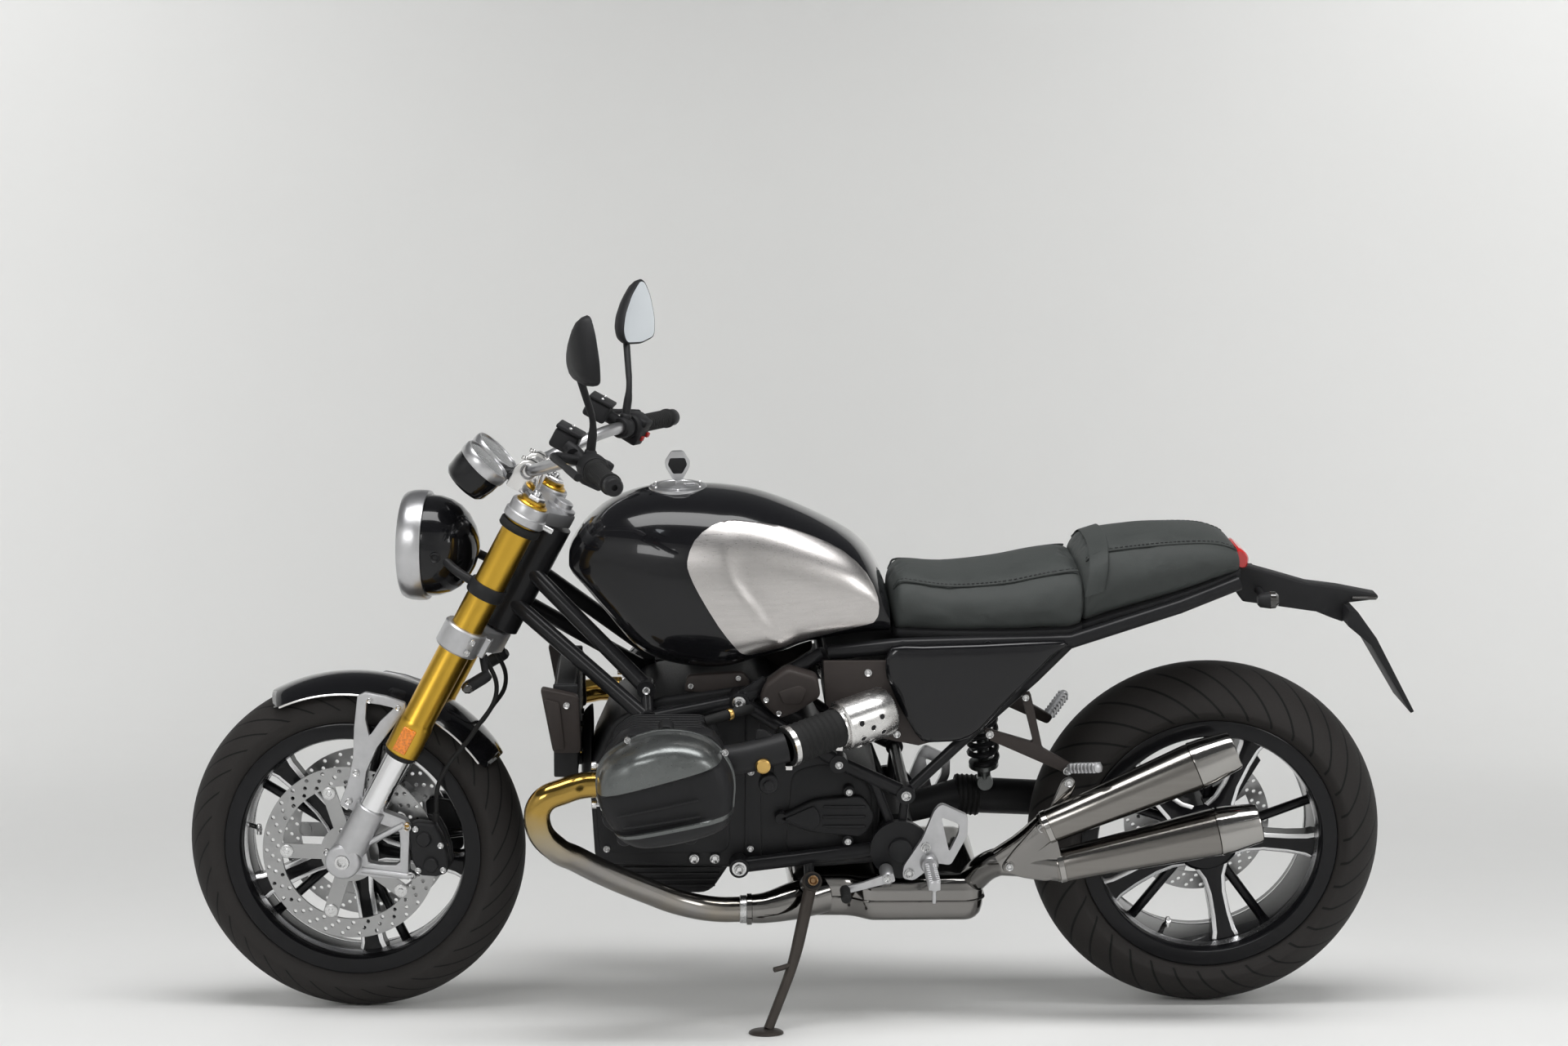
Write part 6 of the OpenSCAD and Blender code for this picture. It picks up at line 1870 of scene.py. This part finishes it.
def makeShock():
    look = shockLook
    run = (look["eye"] - look["top"]).normalized()
    far = (look["eye"] - look["top"]).length
    body, coil = bmesh.new(), bmesh.new()
    turned(body, [(0, 4), (9, 4), (11, 20), (11, 56), (20, 60), (22, 64), (22, 138), (27, 141), (27, 148),
        (14, 150), (11, 152), (11, far - 44), (27, far - 40), (27, far - 32), (16, far - 28),
        (12, far - 20), (12, far)], look["top"], run, 40)
    turned(body, [(11.4, -12), (16, -12), (17, -10), (17, 10), (16, 12), (11.4, 12)], look["top"],
        (0, 1, 0), 28)
    turned(body, [(0, -13), (14, -13), (15, -11), (15, 11), (14, 13), (0, 13)], look["eye"], (0, 1, 0), 28)
    across = run.orthogonal().normalized()
    other = run.cross(across)
    line = []
    count = look["turns"] * 14
    for k in range(count + 1):
        a = math.tau * look["turns"] * k / count
        at = 152 + (far - 196) * k / count
        line.append(look["top"] + run * at + (across * math.cos(a) + other * math.sin(a)) * look["coilR"])
    tube(coil, line, look["wireR"], bend=3, sides=2)
    addPiece("shockBody", body, onBike, "coverGrey", hides="shock", slot="shock_grey")
    addPiece("shockCoil", coil, onBike, "frameBlack", slot="shock_grey")


def makeDrive():
    dress("castBlack", "swingarm")
    boot, bolts = bmesh.new(), bmesh.new()
    knee = Vector((330, 130, 342))
    drive = Vector((rearAxle.x - 40, 138, rearAxle.z + 6))
    run = (drive - knee).normalized()
    folds = [(36.5 + (1.6 if k % 2 else -1.2), -10 + k * 4.4) for k in range(11)]
    turned(boot, [(33, -11)] + folds + [(33, 35)], knee, run, 44)
    addPiece("shaftBoot", boot, onBike, "softRubber")
    part = bmesh.new()
    lathe(part, [(27, 72), (60, 72), (60, 86), (70, 86), (78, 92), (78, 100), (76, 104), (78, 108),
        (78, 150), (74, 158), (58, 160), (54, 156), (36, 156), (33, 160), (27, 160)], "Y", (0, 0, 0), 72)
    for k in range(12):
        a = math.radians(k * 30)
        block(part, (77 * math.cos(a), 128, 77 * math.sin(a)), (6, 34, 6), bevel=2)
    addPiece("driveHousing", part, onDrive, "castBlack", hides="final_drive", slot="frame_black")
    for k in range(6):
        a = math.radians(k * 60 + 12)
        boltHead(bolts, (66 * math.cos(a), 158, 66 * math.sin(a)), (0, 1, 0), 6, 6)
    addPiece("driveBolts", bolts, onDrive, "boltSteel")
    dress("castBlack", "rear_caliper")
    bolts = bmesh.new()
    turn = Matrix.Rotation(math.radians(-58), 4, "Y")
    for x, z in ((96, 20), (96, -20), (140, 18), (140, -18)):
        boltHead(bolts, turn @ Vector((x, 102, z)), (0, 1, 0), 7, 5)
    addPiece("caliperBolts", bolts, onDrive, "boltSteel")


# rests for the rider and the passenger
restLook = {
    "hanger": [(203, 290), (222, 286), (262, 318), (286, 314), (314, 368), (314, 404), (268, 426),
        (256, 414), (236, 362), (204, 312)],
    "window": [(268, 402), (299, 389), (299, 373), (283, 338)],
    "bracket": [(340, 556), (348, 536), (490, 472), (500, 486), (442, 520), (418, 622), (404, 612),
        (426, 530)],
}


def ribbedPeg(bm, a, b, radius, ribs):
    run = (b - a).normalized()
    far = (b - a).length
    turned(bm, [(radius * 0.7, 0), (radius * 0.8, far * 0.06), (radius * 0.8, far * 0.94), (0, far)], a,
        run, 24)
    for k in range(ribs):
        at = a + run * (far * (0.1 + 0.84 * (k + 0.5) / ribs))
        block(bm, at, (radius * 1.7, far * 0.42 / ribs, radius * 1.55), bevel=1.6, aim=run)


def makeRests():
    look = restLook
    plates, bolts, rubber, dark, steel = [bmesh.new() for k in range(5)]
    windowPlate(plates, roundedLoop(look["hanger"], 7, 3), roundedLoop(look["window"], 6, 3), -171, -158.3,
        2.6)
    turned(plates, [(16, 0), (16, 14), (13, 18), (0, 18)], (248, -170, 320), (0, -1, 0), 28)
    ribbedPeg(plates, Vector((248, -187, 320)), Vector((248, -295, 320)), 12, 9)
    tube(plates, [(248, -282, 312), (248, -284, 288)], 3.4, sides=2)
    # gear lever on the left, brake lever on the right
    plate(plates, roundedLoop([(162, 308), (184, 314), (188, 298), (150, 288), (112, 278), (96, 276),
        (94, 288), (130, 296)], 4), -208, -200, 2)
    turned(plates, [(0, 44), (9, 44), (12, 40), (12, 0)], (174, -165, 304), (0, -1, 0), 28)
    turned(rubber, [(0, 46), (7, 45), (9, 42), (9, 0)], (101, -206, 283), (0, -1, 0), 24)
    for x, z in ((242, 348), (214, 300)):
        boltHead(bolts, (x, -171, z), (0, -1, 0), 9, 6)
    boltHead(bolts, (174, -209, 304), (0, -1, 0), 6.5, 4)
    plate(dark, roundedLoop(look["bracket"], 6, 3), -154, -141, 3)
    ribbedPeg(steel, Vector((490, -151, 483)), Vector((532, -224, 508)), 11, 7)
    boltHead(bolts, (350, -154, 546), (0, -1, 0), 7, 5)
    boltHead(bolts, (410, -154, 612), (0, -1, 0), 6, 5)
    boltHead(bolts, (486, -155, 480), (0, -1, 0), 8, 5)
    bothSides(plates, bolts, rubber, dark, steel)
    addPiece("footHangers", plates, onBike, "castSilver", hides="foot_controls")
    addPiece("restBolts", bolts, onBike, "boltSteel")
    addPiece("leverToes", rubber, onBike, "softRubber")
    addPiece("passengerBrackets", dark, onBike, "brownBlack", hides="passenger_pegs")
    addPiece("passengerPegs", steel, onBike, "castSilver")


def makeFrameBolts():
    dress("frameBlack", "main_frame", "subframe")
    bolts, caps, plates = bmesh.new(), bmesh.new(), bmesh.new()
    for x, y, z, r in ((-237, 164, 573, 9), (-82, 164, 606, 8), (-80, 156, 304, 9), (91, 152, 492, 7),
            (208, 150, 435, 9), (-240, 138, 622, 7)):
        turned(bolts, [(r + 3.5, 0), (r + 3.5, 1.6), (r, 2)], (x, -y, z), (0, -1, 0), 24)
        boltHead(bolts, (x, -y - 1.5, z), (0, -1, 0), r, 6)
    turned(caps, [(0, 11), (17, 11), (20.5, 8.5), (21, 0)], (199, -157.5, 338), (0, -1, 0), 40)
    plate(plates, roundedLoop([(-134, 586), (-118, 604), (-84, 622), (-40, 650), (-34, 640), (-60, 600),
        (-104, 574)], 7), -152, -144, 2.4)
    bothSides(bolts, caps, plates)
    addPiece("frameBolts", bolts, onBike, "boltSteel")
    addPiece("pivotCaps", caps, onBike, "mouldedBlack")
    addPiece("frameGussets", plates, onBike, "frameBlack")


standLook = {"eye": Vector((17.1, -59.6, 246.2)), "foot": Vector((-60, -133.1, 0)), "legR": 9}


def makeStand():
    look = standLook
    eye, foot = look["eye"], look["foot"]
    axis = jointDir("side_stand")
    elbow = eye + (foot - eye) * 0.55 + Vector((10, 4, 0))
    bm = bmesh.new()
    turned(bm, [(8.4, -12), (16, -12), (17.2, -10), (17.2, 10), (16, 12), (8.4, 12)], eye, axis, 32)
    tube(bm, [eye, elbow, foot + Vector((0, 0, 6))], look["legR"], bend=40, sides=5,
        radii=(1.25, 1.05, 0.95))
    tube(bm, [elbow, elbow + Vector((-20, -14, -4)), elbow + Vector((-34, -22, -6))], 4.6, bend=8, sides=3)
    turned(bm, [(0, 7), (20, 7), (26, 5.4), (29.5, 3), (30, 0.6), (29, 0), (0, 0)],
        foot + Vector((-4, -6, 0)), (0, 0, 1), 40)
    addPiece("standLeg", bm, (millimetres, "side_stand"), "standDark", hides="side_stand")
    bm = bmesh.new()
    boltHead(bm, eye + axis * 18, axis, 9, 7)
    addPiece("standBolt", bm, (millimetres, "chassis"), "bronze")


makeShock()
makeDrive()
makeRests()
makeFrameBolts()
makeStand()
print("chassis details made")
